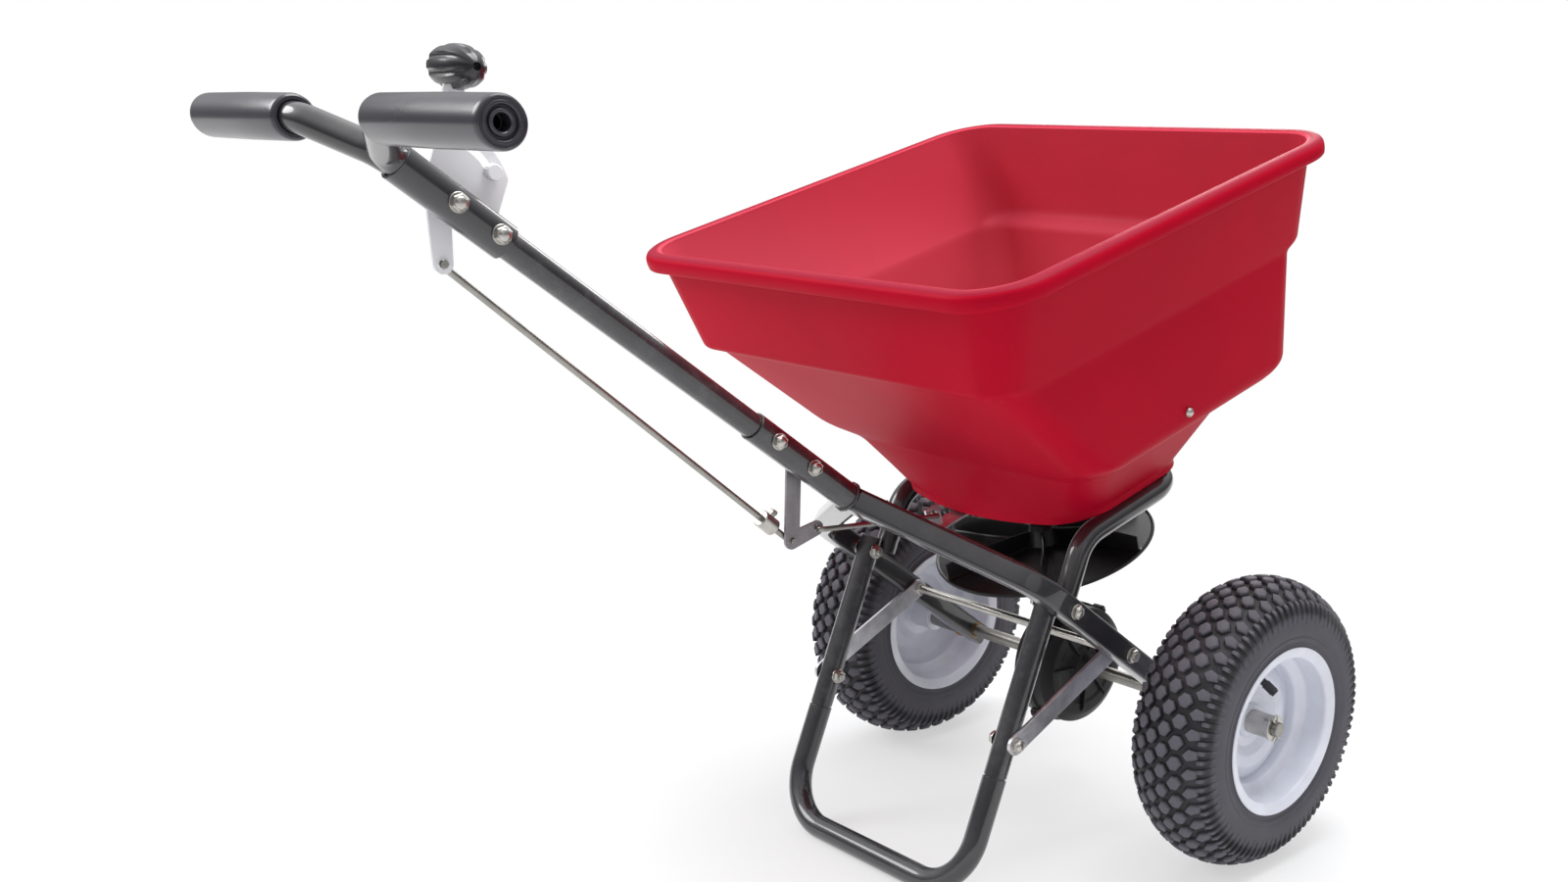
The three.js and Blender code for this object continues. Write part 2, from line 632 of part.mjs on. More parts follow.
// Carcass with staggered studs. Rings of points run round the tyre; every second cell of
// the tread is raised into a stud with sloping sides.
function tyre() {
  const skin = new Skin();
  const columns = 2 * STUD_PAIRS;
  const base = TYRE_R - STUD_H;
  const place = (x, radius, angle) => V(x, radius * Math.sin(angle), radius * Math.cos(angle));
  const ringOf = (x, radius, count) => skin.ring(Array.from({ length: count },
    (_, k) => place(x, radius, 2 * Math.PI * k / count)));
  const crown = (x) => base - TREAD_CROWN * (2 * x / TREAD_W) ** 2;
  const edges = Array.from({ length: STUD_ROWS + 1 }, (_, i) => TREAD_W * (i / STUD_ROWS - 0.5));
  const treads = edges.map((x) => ringOf(x, crown(x), columns));

  const stud = (row, column) => {
    const cell = [[row, column], [row + 1, column], [row + 1, column + 1], [row, column + 1]];
    const feet = cell.map(([i, j]) => treads[i][j % columns]);
    const middleX = (edges[row] + edges[row + 1]) / 2;
    const tops = cell.map(([i, j]) => {
      const x = THREE.MathUtils.lerp(edges[i], middleX, 0.22);
      const angle = 2 * Math.PI * THREE.MathUtils.lerp(j, column + 0.5, 0.22) / columns;
      return skin.point(place(x, crown(x) + STUD_H, angle));
    });
    for (let k = 0; k < 4; k++) skin.quad(feet[k], feet[(k + 1) % 4], tops[(k + 1) % 4], tops[k]);
    skin.quad(...tops);
  };

  for (let row = 0; row < STUD_ROWS; row++) {
    for (let column = 0; column < columns; column++) {
      const next = (column + 1) % columns;
      if ((row + column) % 2) stud(row, column);
      else skin.quad(treads[row][column], treads[row + 1][column], treads[row + 1][next], treads[row][next]);
    }
  }

  const half = TYRE_W / 2;
  const bead = BEAD_R + GAP;
  const wall = [[half - 1, 147], [half, 124], [half - 3, 102], [half - 8, bead + 2]];
  const lining = [[half - 14, bead], [half - TYRE_WALL, 122], [TREAD_W / 2 - 3, base - TREAD_CROWN - TYRE_WALL - 2]];
  const side = [...wall, ...lining];
  const right = side.map(([x, radius]) => ringOf(x, radius, STUD_PAIRS));
  const left = side.map(([x, radius]) => ringOf(-x, radius, STUD_PAIRS));
  skin.band(treads[STUD_ROWS], right[0]);
  for (let i = 1; i < right.length; i++) skin.band(right[i - 1], right[i]);
  skin.band(right[right.length - 1], left[left.length - 1]);
  for (let i = left.length - 1; i > 0; i--) skin.band(left[i], left[i - 1]);
  const reversed = (ring) => [ring[0], ...ring.slice(1).reverse()];
  skin.band(reversed(treads[0]), reversed(left[0]));
  return skin.geometry();
}

function valveStem() {
  return solidRod([V(-12, 0, VALVE_Z), V(26, 0, VALVE_Z), V(44, 0, VALVE_Z - 5)], [20], VALVE_R);
}

function hubBush() {
  const profile = [[-HUB_HALF, AXLE_R + RUN], [-HUB_HALF, AXLE_R + BUSH_T], [HUB_HALF, AXLE_R + BUSH_T],
    [HUB_HALF, AXLE_R + RUN]];
  return turned(profile, 12);
}

function axleBush() {
  const inner = RAIL_X - RAIL_SIZE / 2;
  const outer = RAIL_X + RAIL_SIZE / 2;
  const profile = [[inner - 1, AXLE_R + RUN], [inner - 1, AXLE_R + BUSH_T], [outer + GAP, AXLE_R + BUSH_T],
    [outer + GAP, AXLE_R + 6], [outer + GAP + BUSH_FLANGE_T, AXLE_R + 6], [outer + GAP + BUSH_FLANGE_T, AXLE_R + RUN]];
  return turned(profile, 12);
}

function axleSpacer() {
  const from = RAIL_X + RAIL_SIZE / 2 + 2 * GAP + BUSH_FLANGE_T;
  const to = WHEEL_X - HUB_HALF - GAP;
  return turned([[from, AXLE_R + GAP], [from, AXLE_R + 3.5], [to, AXLE_R + 3.5], [to, AXLE_R + GAP]], 12);
}

function axle() {
  const holes = [-1, 1].map((side) => rod(V(side * COTTER_X, 0, -20), V(side * COTTER_X, 0, 20), PIN_R + GAP, 8));
  return cut(rodX(-AXLE_END, AXLE_END, 0, 0, AXLE_R, 16), ...holes);
}

// Split pin through the axle end: an eye on one side and two spread legs on the other.
function cotterPin() {
  const x = COTTER_X;
  const eye = new THREE.TorusGeometry(4, 1.6, 5, 8).rotateY(Math.PI / 2).translate(x, 0, AXLE_R + 5.5);
  return join(rod(V(x, 0, -AXLE_R - 9), V(x, 0, AXLE_R + 3), PIN_R, 8), eye);
}

function hubWasher() {
  const from = WHEEL_X + HUB_HALF + GAP;
  return turned([[from, AXLE_R + GAP], [from, 15], [from + WASHER_T, 15], [from + WASHER_T, AXLE_R + GAP]], 12);
}

// ---- gearbox ------------------------------------------------------------------------
function housingShell() {
  const inner = HOUSING_R - HOUSING_T;
  const profile = [
    [GAP / 2, HOUSING_R], [GAP / 2, inner], [HOUSING_HALF - 8, inner], [HOUSING_HALF - HOUSING_T, inner - 9],
    [HOUSING_HALF - HOUSING_T, AXLE_R + RUN], [HOUSING_HALF + 12, AXLE_R + RUN], [HOUSING_HALF + 12, 15],
    [HOUSING_HALF + 1, 19], [HOUSING_HALF, 26], [HOUSING_HALF, inner - 8], [HOUSING_HALF - 8, HOUSING_R],
  ];
  const shell = turned(profile, 18);
  const neckTop = HOUSING_R + HOUSING_NECK_H;
  const neck = rod(V(0, 0, HOUSING_R - 4), V(0, 0, neckTop), HOUSING_NECK_R, 12);
  const lugAt = HOUSING_R + LUG_R / 2;
  const lug = (angle) => rodX(0, LUG_R, lugAt * Math.sin(angle * RAD), lugAt * Math.cos(angle * RAD), LUG_R, 8);
  const clear = rod(V(0, 0, inner - 6), V(0, 0, neckTop + 1), SHAFT_R + RUN, 12);
  const body = keep(join(shell, neck, ...[60, 180, 300].map(lug)), halfSpace(GAP / 2, 100));
  return cut(body, clear);
}

// Straight bevel gear: tooth outline at the large end, shrunk towards the cone apex at the origin.
function bevelGear(teeth, otherTeeth, bore, hubDepth) {
  const pitchR = GEAR_MODULE * teeth / 2;
  const apexDistance = GEAR_MODULE * otherTeeth / 2;
  const cone = Math.atan2(pitchR, apexDistance);
  const length = Math.hypot(pitchR, apexDistance);
  const shrink = 1 - GEAR_FACE / length;
  const shares = [[-0.32, -1.2], [-0.1, 0.5], [0.1, 0.5], [0.32, -1.2]];
  const outline = [];
  for (let tooth = 0; tooth < teeth; tooth++) {
    for (const [share, height] of shares) {
      const angle = 2 * Math.PI * (tooth + share) / teeth;
      const off = height * GEAR_MODULE;
      const radius = pitchR + off * Math.cos(cone);
      outline.push(V(radius * Math.cos(angle), radius * Math.sin(angle), apexDistance - off * Math.sin(cone)));
    }
  }
  const small = outline.map((p) => p.clone().multiplyScalar(shrink));
  const rootR = pitchR - 1.1 * GEAR_MODULE * Math.cos(cone);
  const backZ = apexDistance + hubDepth;
  const back = outline.map((p) => {
    const angle = Math.atan2(p.y, p.x);
    return V(rootR * Math.cos(angle), rootR * Math.sin(angle), backZ);
  });
  return cut(loft([small, outline, back]), rod(V(0, 0, -100), V(0, 0, 200), bore, 16));
}

function ringGear() {
  const gear = bevelGear(RING_TEETH, PINION_TEETH, AXLE_R + GAP, 5);
  return gear.rotateY(-Math.PI / 2);
}

function pinion() {
  return bevelGear(PINION_TEETH, RING_TEETH, SHAFT_R + GAP, 2);
}

// ---- spinner, shaft, agitator -------------------------------------------------------
function spinner() {
  const disc = turned([[0, 0], [0, SPINNER_R], [SPINNER_T, SPINNER_R], [SPINNER_T, 24], [VANE_H, 16],
    [VANE_H + 6, 13], [VANE_H + 6, 0]], 24, true);
  const vanes = Array.from({ length: VANE_COUNT }, (_, k) => {
    const vane = box(20, SPINNER_R - 2, -1.5, 1.5, SPINNER_T / 2, SPINNER_T + VANE_H);
    const foot = box(20, SPINNER_R - 2, -1.5, 9, SPINNER_T / 2, SPINNER_T + 2);
    return [vane, foot].map((g) => g.rotateZ(2 * Math.PI * (k + 0.2) / VANE_COUNT));
  }).flat();
  const bore = rod(V(0, 0, -10), V(0, 0, 60), SHAFT_R + GAP, 16);
  return moved(cut(join(disc, ...vanes), bore), 0, 0, SPINNER_Z);
}

function spinnerShaft() {
  const bottom = GEAR_MODULE * RING_TEETH / 2 - GEAR_FACE;
  return rod(V(0, 0, bottom), V(0, 0, SHAFT_TOP), SHAFT_R, 16);
}

function agitator() {
  const z = SHAFT_TOP - 14;
  const elbow = AGITATOR_REACH - AGITATOR_RISE;
  const hub = rod(V(0, 0, BASE_Z + HOPPER_T + 9), V(0, 0, SHAFT_TOP - 4), SHAFT_R + 4, 12);
  const half = [V(AGITATOR_REACH, 0, z + AGITATOR_RISE), V(elbow, 0, z)];
  const corners = [...half, ...half.slice().reverse().map((p) => V(-p.x, 0, p.z))];
  const wire = solidRod(corners, [10, 10], AGITATOR_WIRE_R);
  return cut(join(hub, wire), rod(V(0, 0, 200), V(0, 0, 400), SHAFT_R + GAP, 16));
}

function floorBush() {
  const bore = SHAFT_R + RUN;
  const profile = [[BASE_Z - GAP - 3, bore], [BASE_Z - GAP - 3, 9], [BASE_Z + HOPPER_T + GAP, 9],
    [BASE_Z + HOPPER_T + GAP, 15], [BASE_Z + HOPPER_T + 6, 13], [BASE_Z + HOPPER_T + 6, bore]];
  return turned(profile, 16, true);
}

// ---- hopper -------------------------------------------------------------------------
// Rounded rectangle with an optional bulge of its rear edge.
function hopperRing(z, half, rear, front, corner, bulge = 0) {
  const points = [];
  const centres = [[half - corner, front - corner, 0], [corner - half, front - corner, 90],
    [corner - half, rear + corner, 180], [half - corner, rear + corner, 270]];
  for (const [cx, cy, start] of centres) {
    for (let k = 0; k <= 4; k++) {
      const angle = (start + 22.5 * k) * RAD;
      points.push(V(cx + corner * Math.cos(angle), cy + corner * Math.sin(angle), z));
    }
    if (start === 180) {
      for (const share of [-0.5, 0, 0.5]) points.push(V(share * 2 * (half - corner), rear, z));
    }
  }
  for (const p of points) {
    const share = THREE.MathUtils.clamp(Math.abs(p.x) / half, 0, 1);
    if (p.y < rear + corner) p.y -= bulge * (1 - share * share);
  }
  return points;
}

function hopper() {
  const t = HOPPER_T;
  const lip = RIM_Z - LIP_DROP;
  const wall = [
    [BASE_Z, BASE_HALF, BASE_REAR, BASE_FRONT, BASE_CORNER_R, BASE_BULGE],
    [BASE_Z + SKIRT_H, BASE_HALF, BASE_REAR, BASE_FRONT, BASE_CORNER_R, BASE_BULGE],
    [SHELF_Z, SHELF_HALF, SHELF_REAR, SHELF_FRONT, SHELF_CORNER_R, SHELF_BULGE],
    [BOX_Z, BOX_HALF, BOX_REAR, BOX_FRONT, BOX_CORNER_R, 0],
    [LEDGE_Z, LEDGE_HALF, LEDGE_REAR, LEDGE_FRONT, LEDGE_CORNER_R, 0],
    [LEDGE_Z + LEDGE_H, LEDGE_HALF + LEDGE_STEP_SIDE, LEDGE_REAR - LEDGE_STEP_END,
      LEDGE_FRONT + LEDGE_STEP_END, LEDGE_CORNER_R + LEDGE_STEP_SIDE, 0],
    [RIM_Z - t, MOUTH_HALF, MOUTH_REAR, MOUTH_FRONT, MOUTH_CORNER_R, 0],
  ];
  const ring = ([z, half, rear, front, corner, bulge], out) => (
    hopperRing(z, half + out, rear - out, front + out, corner + out, bulge));
  const outside = wall.map((level) => ring(level, 0));
  const mouth = wall[wall.length - 1];
  const at = (z, out) => ring([z, ...mouth.slice(1)], out);
  const rim = [at(RIM_Z - t, LIP_OUT - t), at(lip, LIP_OUT - t), at(lip, LIP_OUT),
    at(RIM_Z - 3, LIP_OUT), at(RIM_Z, LIP_OUT - 3), at(RIM_Z, 1 - t), at(RIM_Z - t, -t)];
  const inside = wall.slice(1, -1).reverse().map(([z, ...rest]) => ring([z + (z < LEDGE_Z ? t : 0), ...rest], -t));
  const floor = ring([BASE_Z + t, ...wall[0].slice(1)], -t - 3);
  const shell = loft([...outside, ...rim, ...inside, floor]);
  const ports = [-1, 1].map((side) => rod(V(side * PORT_X, PORT_Y, 200), V(side * PORT_X, PORT_Y, 300), PORT_R, 16));
  return cut(shell, rod(V(0, 0, 200), V(0, 0, 300), 9 + GAP, 16), ...ports);
}

// ---- shut-off -----------------------------------------------------------------------
const guideFloor = BASE_Z - GAP - 9;
const shutterZ = guideFloor + GUIDE_T + 1;

function shutterGuide() {
  const side = SHUTTER_HALF + 1;
  const base = box(-side - GUIDE_T, side + GUIDE_T, -GUIDE_HALF, GUIDE_HALF, guideFloor, guideFloor + GUIDE_T);
  const walls = [-1, 1].map((s) => box(
    Math.min(s * side, s * (side + GUIDE_T)), Math.max(s * side, s * (side + GUIDE_T)),
    -GUIDE_HALF, GUIDE_HALF, guideFloor, BASE_Z - GAP));
  const ports = [-1, 1].map((s) => rod(V(s * PORT_X, PORT_Y, 200), V(s * PORT_X, PORT_Y, 300), PORT_R + 2, 16));
  return cut(join(base, ...walls), ...ports, rod(V(0, 0, 200), V(0, 0, 300), SHAFT_R + 3, 16));
}

const earPin = V(LEVER_X, EAR_PIN_Y, shutterZ + EAR_PIN_RISE);

function shutterPlate() {
  const z1 = shutterZ + SHUTTER_T;
  const plate = box(-SHUTTER_HALF, SHUTTER_HALF, 2 - GUIDE_HALF, GUIDE_HALF, shutterZ, z1);
  const tail = box(LEVER_X - 12, LEVER_X + 12, earPin.y - 10, 4 - GUIDE_HALF, shutterZ, z1);
  const ear = box(LEVER_X + 3, LEVER_X + 6, earPin.y - 10, earPin.y + 10, shutterZ, earPin.z + 9);
  const ports = [-1, 1].map((s) => rod(
    V(s * PORT_X, PORT_Y + SHUTTER_TRAVEL, 200), V(s * PORT_X, PORT_Y + SHUTTER_TRAVEL, 300), PORT_R, 16));
  const slot = [0, SHUTTER_TRAVEL + 2].map((y) => rod(V(0, y, 200), V(0, y, 300), 11, 12));
  const slotSides = box(-11, 11, 0, SHUTTER_TRAVEL + 2, 200, 300);
  const pinHole = boreX(LEVER_X - 20, LEVER_X + 20, earPin.y, earPin.z, ROD_R + PIN_PLAY, 12);
  return cut(join(plate, tail, ear), ...ports, ...slot, slotSides, pinHole);
}

// ---- control ------------------------------------------------------------------------
function polar(from, length, angle) {
  return V(from.x, from.y + length * Math.cos(angle * RAD), from.z + length * Math.sin(angle * RAD));
}

const leverPivot = onHandle(LEVER_S, LEVER_X);
const knobAt = polar(leverPivot, LEVER_KNOB, LEVER_KNOB_ANGLE);
const leverRodPin = polar(leverPivot, LEVER_ROD, LEVER_ROD_ANGLE);
const crankPivot = onHandle(CRANK_S, LEVER_X);
const crankRodPin = polar(crankPivot, CRANK_ARM, CRANK_ANGLE);
const crankLinkPin = polar(crankPivot, LINK_ARM, LINK_ANGLE);

function controlLever() {
  const x0 = LEVER_X - LEVER_T / 2;
  const upper = flatStrap(leverPivot, knobAt, LEVER_W, x0, LEVER_T, []);
  const lower = flatStrap(leverPivot, leverRodPin, LEVER_W - 2, x0, LEVER_T, []);
  const hole = (p, radius) => boreX(x0 - 5, x0 + LEVER_T + 5, p.y, p.z, radius, 12);
  return cut(join(upper, lower), hole(leverPivot, BOLT_R), hole(leverRodPin, ROD_R + GAP));
}

// Fluted oval knob with its long axis along x.
function leverKnob() {
  const rings = Array.from({ length: 6 }, (_, i) => {
    const share = THREE.MathUtils.lerp(-0.94, 0.94, i / 5);
    const radius = KNOB_R * Math.sqrt(1 - share * share);
    return Array.from({ length: 24 }, (__, k) => {
      const flute = k % 3 === 0 ? 1 - 0.1 * (1 - share * share) : 1;
      const angle = 2 * Math.PI * k / 24;
      return V(share * KNOB_HALF, radius * flute * Math.sin(angle), radius * flute * Math.cos(angle));
    });
  });
  const slot = flatStrap(leverPivot, knobAt, LEVER_W + 2 * GAP, LEVER_X - LEVER_T / 2 - GAP, LEVER_T + 2 * GAP, []);
  return cut(moved(loft(rings), knobAt.x, knobAt.y, knobAt.z), slot);
}

const gaugeX = -SLEEVE_R - GAP - GAUGE_T;

// Gauge plate: a sector about the lever pivot with an arc slot for the rate stop.
function gaugePlate() {
  const [cy, cz] = [leverPivot.y, leverPivot.z];
  const shape = new THREE.Shape();
  const from = (LEVER_KNOB_ANGLE - GAUGE_SWEEP) * RAD;
  const to = (LEVER_KNOB_ANGLE + 8) * RAD;
  shape.absarc(cy, cz, GAUGE_R, from, to);
  const low = onHandle(SLEEVE_BOLT_S - 12, 0, -10);
  const back = onHandle(LEVER_S + 12, 0, -10);
  shape.lineTo(back.y, back.z);
  shape.lineTo(low.y, low.z);
  shape.closePath();
  const slot = new THREE.Path();
  slot.absarc(cy, cz, GAUGE_SLOT_R, from + 0.12, to - 0.12);
  slot.absarc(cy, cz, GAUGE_SLOT_R - GAUGE_SLOT_W, to - 0.12, from + 0.12, true);
  shape.holes.push(slot);
  const plate = sidePlate(shape, gaugeX, GAUGE_T);
  return cut(plate, ...[SLEEVE_BOLT_S, LEVER_S].map((s) => boreX(-40, 0, onHandle(s).y, onHandle(s).z)));
}

// Thumb screw that limits how far the lever swings; it rides in the gauge plate's slot.
function rateStop() {
  const at = polar(leverPivot, GAUGE_SLOT_R - GAUGE_SLOT_W / 2, LEVER_KNOB_ANGLE - LEVER_SWING - 17.5);
  const inner = gaugeX + GAUGE_T + GAP;
  const outer = gaugeX - GAP;
  const knob = rodX(inner, inner + 8, at.y, at.z, STOP_R, 10);
  const shank = rodX(outer - 6, inner + 2, at.y, at.z, 2.8, 10);
  const post = rodX(outer - 7, outer, at.y, at.z, 5, 10);
  return join(knob, shank, post);
}

const rodX0 = LEVER_X - LEVER_T / 2 - GAP - ROD_R - 1;

// Control rod with its ends turned in through the lever and the crank.
function controlRod() {
  const at = (p, x) => V(x, p.y, p.z);
  const inner = LEVER_X + LEVER_T / 2 + 3;
  const corners = [at(leverRodPin, inner), at(leverRodPin, rodX0), at(crankRodPin, rodX0), at(crankRodPin, inner)];
  return solidRod(corners, [ROD_BEND, ROD_BEND], ROD_R, 8);
}

function rodCollar() {
  const along = crankRodPin.clone().sub(leverRodPin).normalize();
  const centre = crankRodPin.clone().addScaledVector(along, -COLLAR_BACK).setX(rodX0);
  const block = new THREE.CylinderGeometry(COLLAR_R, COLLAR_R, COLLAR_LENGTH, 8);
  block.applyQuaternion(new THREE.Quaternion().setFromUnitVectors(V(0, 1, 0), along));
  block.translate(centre.x, centre.y, centre.z);
  const ends = [-1, 1].map((s) => centre.clone().addScaledVector(along, COLLAR_LENGTH * s));
  const square = BEHIND_LEG.clone().addScaledVector(along, -BEHIND_LEG.dot(along)).normalize();
  const screw = rod(centre, centre.clone().addScaledVector(square, -COLLAR_R - 5), BOLT_R - 0.5, 6);
  return cut(join(block, screw), rod(ends[0], ends[1], ROD_R + GAP, 10));
}

// Crank plate: pivots under the neck, pulled by the control rod, pushes the link.
function bellCrank() {
  const x0 = LEVER_X - LEVER_T / 2;
  const arm = flatStrap(crankPivot, crankRodPin, 18, x0, LEVER_T, []);
  const toe = flatStrap(crankRodPin, crankLinkPin, 16, x0, LEVER_T, []);
  const hole = (p, radius) => boreX(x0 - 5, x0 + LEVER_T + 5, p.y, p.z, radius, 12);
  return cut(join(arm, toe), hole(crankPivot, BOLT_R), hole(crankRodPin, ROD_R + PIN_PLAY), hole(crankLinkPin, ROD_R));
}

function linkRod() {
  const at = (p, x) => V(x, p.y, p.z);
  const corners = [at(crankLinkPin, LEVER_X - 5), at(crankLinkPin, LEVER_X + 9),
    at(earPin, LEVER_X + 14), at(earPin, LEVER_X - 2)];
  return solidRod(corners, [ROD_BEND, ROD_BEND], ROD_R - 0.4, 8);
}

function pivotBolt(s, x0, radius) {
  const at = onHandle(s);
  return boltX(x0, radius, at.y, at.z);
}

// ---- materials ----------------------------------------------------------------------
const paint = (color, roughness, metalness) => () => new THREE.MeshStandardMaterial({ color, roughness, metalness });
const redPlastic = paint('#a5122a', 0.35, 0);
const blackPaint = paint('#2b2a2d', 0.35, 0.1);
const blackPlastic = paint('#1d1d1f', 0.6, 0);
const rubber = paint('#202022', 0.85, 0);
const whitePaint = paint('#cdcddc', 0.4, 0);
const zinc = paint('#b9b6ae', 0.35, 0.9);
const steel = paint('#8f8d8a', 0.45, 0.9);
const whitePlastic = paint('#e8e8ea', 0.5, 0);
const bronze = paint('#8a6a3c', 0.5, 0.9);

// ---- assembly -----------------------------------------------------------------------
const machine = new THREE.Group();

function add(name, geometry, material) {
  const mesh = new THREE.Mesh(tidy(geometry), material());
  mesh.name = name;
  machine.add(mesh);
  return mesh;
}

function addPair(name, geometry, material) {
  add(`${name}_right`, geometry, material);
  add(`${name}_left`, mirrored(geometry), material);
}

add('hopper', hopper(), redPlastic);
add('handle_lower_tube', lowerTube(), blackPaint);
add('handle_neck_sleeve', neckSleeve(), blackPaint);
addPair('handle_bar', handleBar(), blackPaint);
addPair('grip', grip(), blackPlastic);
add('frame_neck', frameNeck(), blackPaint);
addPair('side_rail', sideRail(), blackPaint);
add('hopper_support_ring', supportRing(), blackPaint);
addPair('stand_leg', standLeg(), blackPaint);
add('stand_foot_loop', footLoop(), blackPaint);
addPair('stand_brace', brace(), steel);
add('cross_rod', crossRod(), zinc);
addPair('rail_bolt', railBoltPiece(), zinc);
addPair('brace_bolt', braceBolt(), zinc);

add('axle', axle(), steel);
addPair('axle_bush', axleBush(), bronze);
addPair('axle_spacer', axleSpacer(), steel);
addPair('hub_washer', hubWasher(), zinc);
addPair('cotter_pin', cotterPin(), zinc);
addPair('wheel_rim', moved(wheelRim(), WHEEL_X, 0, 0), whitePaint);
addPair('tyre', moved(tyre(), WHEEL_X, 0, 0), rubber);
addPair('valve_stem', moved(valveStem(), WHEEL_X, 0, 0), blackPlastic);
addPair('hub_bush', moved(hubBush(), WHEEL_X, 0, 0), bronze);

addPair('gearbox_shell', housingShell(), blackPlastic);
add('ring_gear', ringGear(), steel);
add('pinion', pinion(), steel);
add('spinner_shaft', spinnerShaft(), zinc);
add('spinner', spinner(), blackPlastic);
add('agitator', agitator(), zinc);
add('floor_bush', floorBush(), blackPlastic);
add('shutter_guide', shutterGuide(), steel);
add('shutter_plate', shutterPlate(), steel);

add('control_lever', controlLever(), whitePlastic);
add('lever_knob', leverKnob(), blackPlastic);
add('gauge_plate', gaugePlate(), whitePlastic);
add('rate_stop', rateStop(), zinc);
add('lever_pivot_bolt', pivotBolt(LEVER_S, LEVER_X - LEVER_T / 2, SLEEVE_R), zinc);
add('sleeve_bolt', pivotBolt(SLEEVE_BOLT_S, gaugeX, SLEEVE_R), zinc);
add('neck_bolt', pivotBolt(NECK_BOLT_S, -NECK_R, NECK_R), zinc);
add('crank_pivot_bolt', pivotBolt(CRANK_S, LEVER_X - LEVER_T / 2, NECK_R), zinc);
add('control_rod', controlRod(), zinc);
add('rod_collar', rodCollar(), zinc);
add('bell_crank', bellCrank(), steel);
add('link_rod', linkRod(), zinc);

// Parked on its stand: tipped back about the axle, wheels on the floor, base centre at the origin.
const parked = new THREE.Group();
machine.rotation.x = PARK_TILT * RAD;
machine.position.z = TYRE_R;
parked.add(machine);
parked.updateMatrixWorld(true);
const bounds = new THREE.Box3().setFromObject(parked, true);
const middle = bounds.getCenter(new THREE.Vector3());
machine.position.add(V(-middle.x, -middle.y, -bounds.min.z));

export default parked;
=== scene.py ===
"""Walk-behind broadcast spreader: the finished look of the machine, built on its CAD frame."""
import json
import math

import bmesh
import bpy
from mathutils import Matrix, Vector


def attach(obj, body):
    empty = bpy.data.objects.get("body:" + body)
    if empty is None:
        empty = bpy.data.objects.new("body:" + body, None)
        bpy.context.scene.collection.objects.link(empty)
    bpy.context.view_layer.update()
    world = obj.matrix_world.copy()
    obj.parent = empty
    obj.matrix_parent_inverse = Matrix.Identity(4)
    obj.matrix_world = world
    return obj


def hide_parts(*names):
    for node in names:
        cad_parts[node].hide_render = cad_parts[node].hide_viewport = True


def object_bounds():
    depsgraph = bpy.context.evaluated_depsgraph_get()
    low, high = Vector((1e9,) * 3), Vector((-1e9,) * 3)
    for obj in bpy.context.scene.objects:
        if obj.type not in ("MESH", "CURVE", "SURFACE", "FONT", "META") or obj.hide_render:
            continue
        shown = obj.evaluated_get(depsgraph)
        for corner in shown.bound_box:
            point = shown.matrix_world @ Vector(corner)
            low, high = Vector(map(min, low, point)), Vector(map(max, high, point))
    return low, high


bl_info = {
    "name": "Garden Spreader",
    "version": (1, 0, 0),
    "blender": (4, 5, 0),
    "location": "View3D > Sidebar > Spreader",
    "description": "Builds a walk-behind broadcast spreader on its CAD frame",
    "category": "Object",
}

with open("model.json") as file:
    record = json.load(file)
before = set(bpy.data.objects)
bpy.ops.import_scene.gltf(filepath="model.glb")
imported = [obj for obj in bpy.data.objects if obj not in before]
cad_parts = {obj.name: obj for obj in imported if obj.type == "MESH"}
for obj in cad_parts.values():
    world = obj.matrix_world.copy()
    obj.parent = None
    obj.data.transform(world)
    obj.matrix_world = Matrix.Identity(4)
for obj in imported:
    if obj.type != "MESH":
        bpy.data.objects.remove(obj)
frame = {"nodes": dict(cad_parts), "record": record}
CAD_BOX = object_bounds()
RECORD = frame["record"]
JOINTS = {joint["name"]: joint for joint in RECORD["behaviour"]["joints"]}
BODY_OF = {node: body for body, nodes in RECORD["behaviour"]["bodies"].items() for node in nodes}

# The machine is drawn upright in millimetres, origin on the axle: X right, Y forward, Z up.
# PARKED tips it back on its stand and brings it to metres in the frame.
AXLE = Vector(JOINTS["axle_spin"]["pos_m"])
SHAFT_AXIS = Vector(JOINTS["spinner_spin"]["axis"])
PARK_TILT = math.atan2(-SHAFT_AXIS.y, SHAFT_AXIS.z)
PARKED = Matrix.Translation(AXLE) @ Matrix.Rotation(PARK_TILT, 4, "X") @ Matrix.Scale(0.001, 4)
MIRROR = Matrix.Scale(-1, 4, (1, 0, 0))
SIDES = ((1, "right"), (-1, "left"))
ORIGIN = Vector((0, 0, 0))
RIGHTWARD = Vector((1, 0, 0))
FORWARD = Vector((0, 1, 0))
UPWARD = Vector((0, 0, 1))

# tubes, straps and the small gap between parts that touch
TUBE_R = 12.7
TUBE_WALL = 1.6
STRAP_T = 4.0
RAIL_SIZE = 25.4
GAP = 0.3
JOINT_GAP = 1.6
NUT_ACROSS = 13.0
WASHER_R = 8.5
WASHER_T = 1.4

# wheels and axle
TYRE_R = 165.0
WHEEL_X = 276.0
WHEEL_HALF = 52.0
WHEEL_CENTRE = Vector((WHEEL_X, 0, 0))
TREAD_HALF = 45.0
CROWN_DROP = 17.0
CROWN_POWER = 2.2
STUD_ROWS = 6
AXLE_R = 8.0
AXLE_HALF = 320.0
HUB_HALF = 34.0
HUB_BORE_R = 10.9
BUSH_BORE_R = 8.5
BUSH_R = 10.5
COTTER_X = 315.6

# vertical shaft and hopper
SHAFT_FOOT = 45.4
SHAFT_TOP = 296.0
SHAFT_R = 6.0
BASE_Z = 254.0
RIM_Z = 588.0
HOPPER_HEART = (0.0, 0.2, 0.7)
SHAFT_HOLE_R = 9.6
PORT_X = 34.0
PORT_Y = 16.0
PORT_R = 13.0

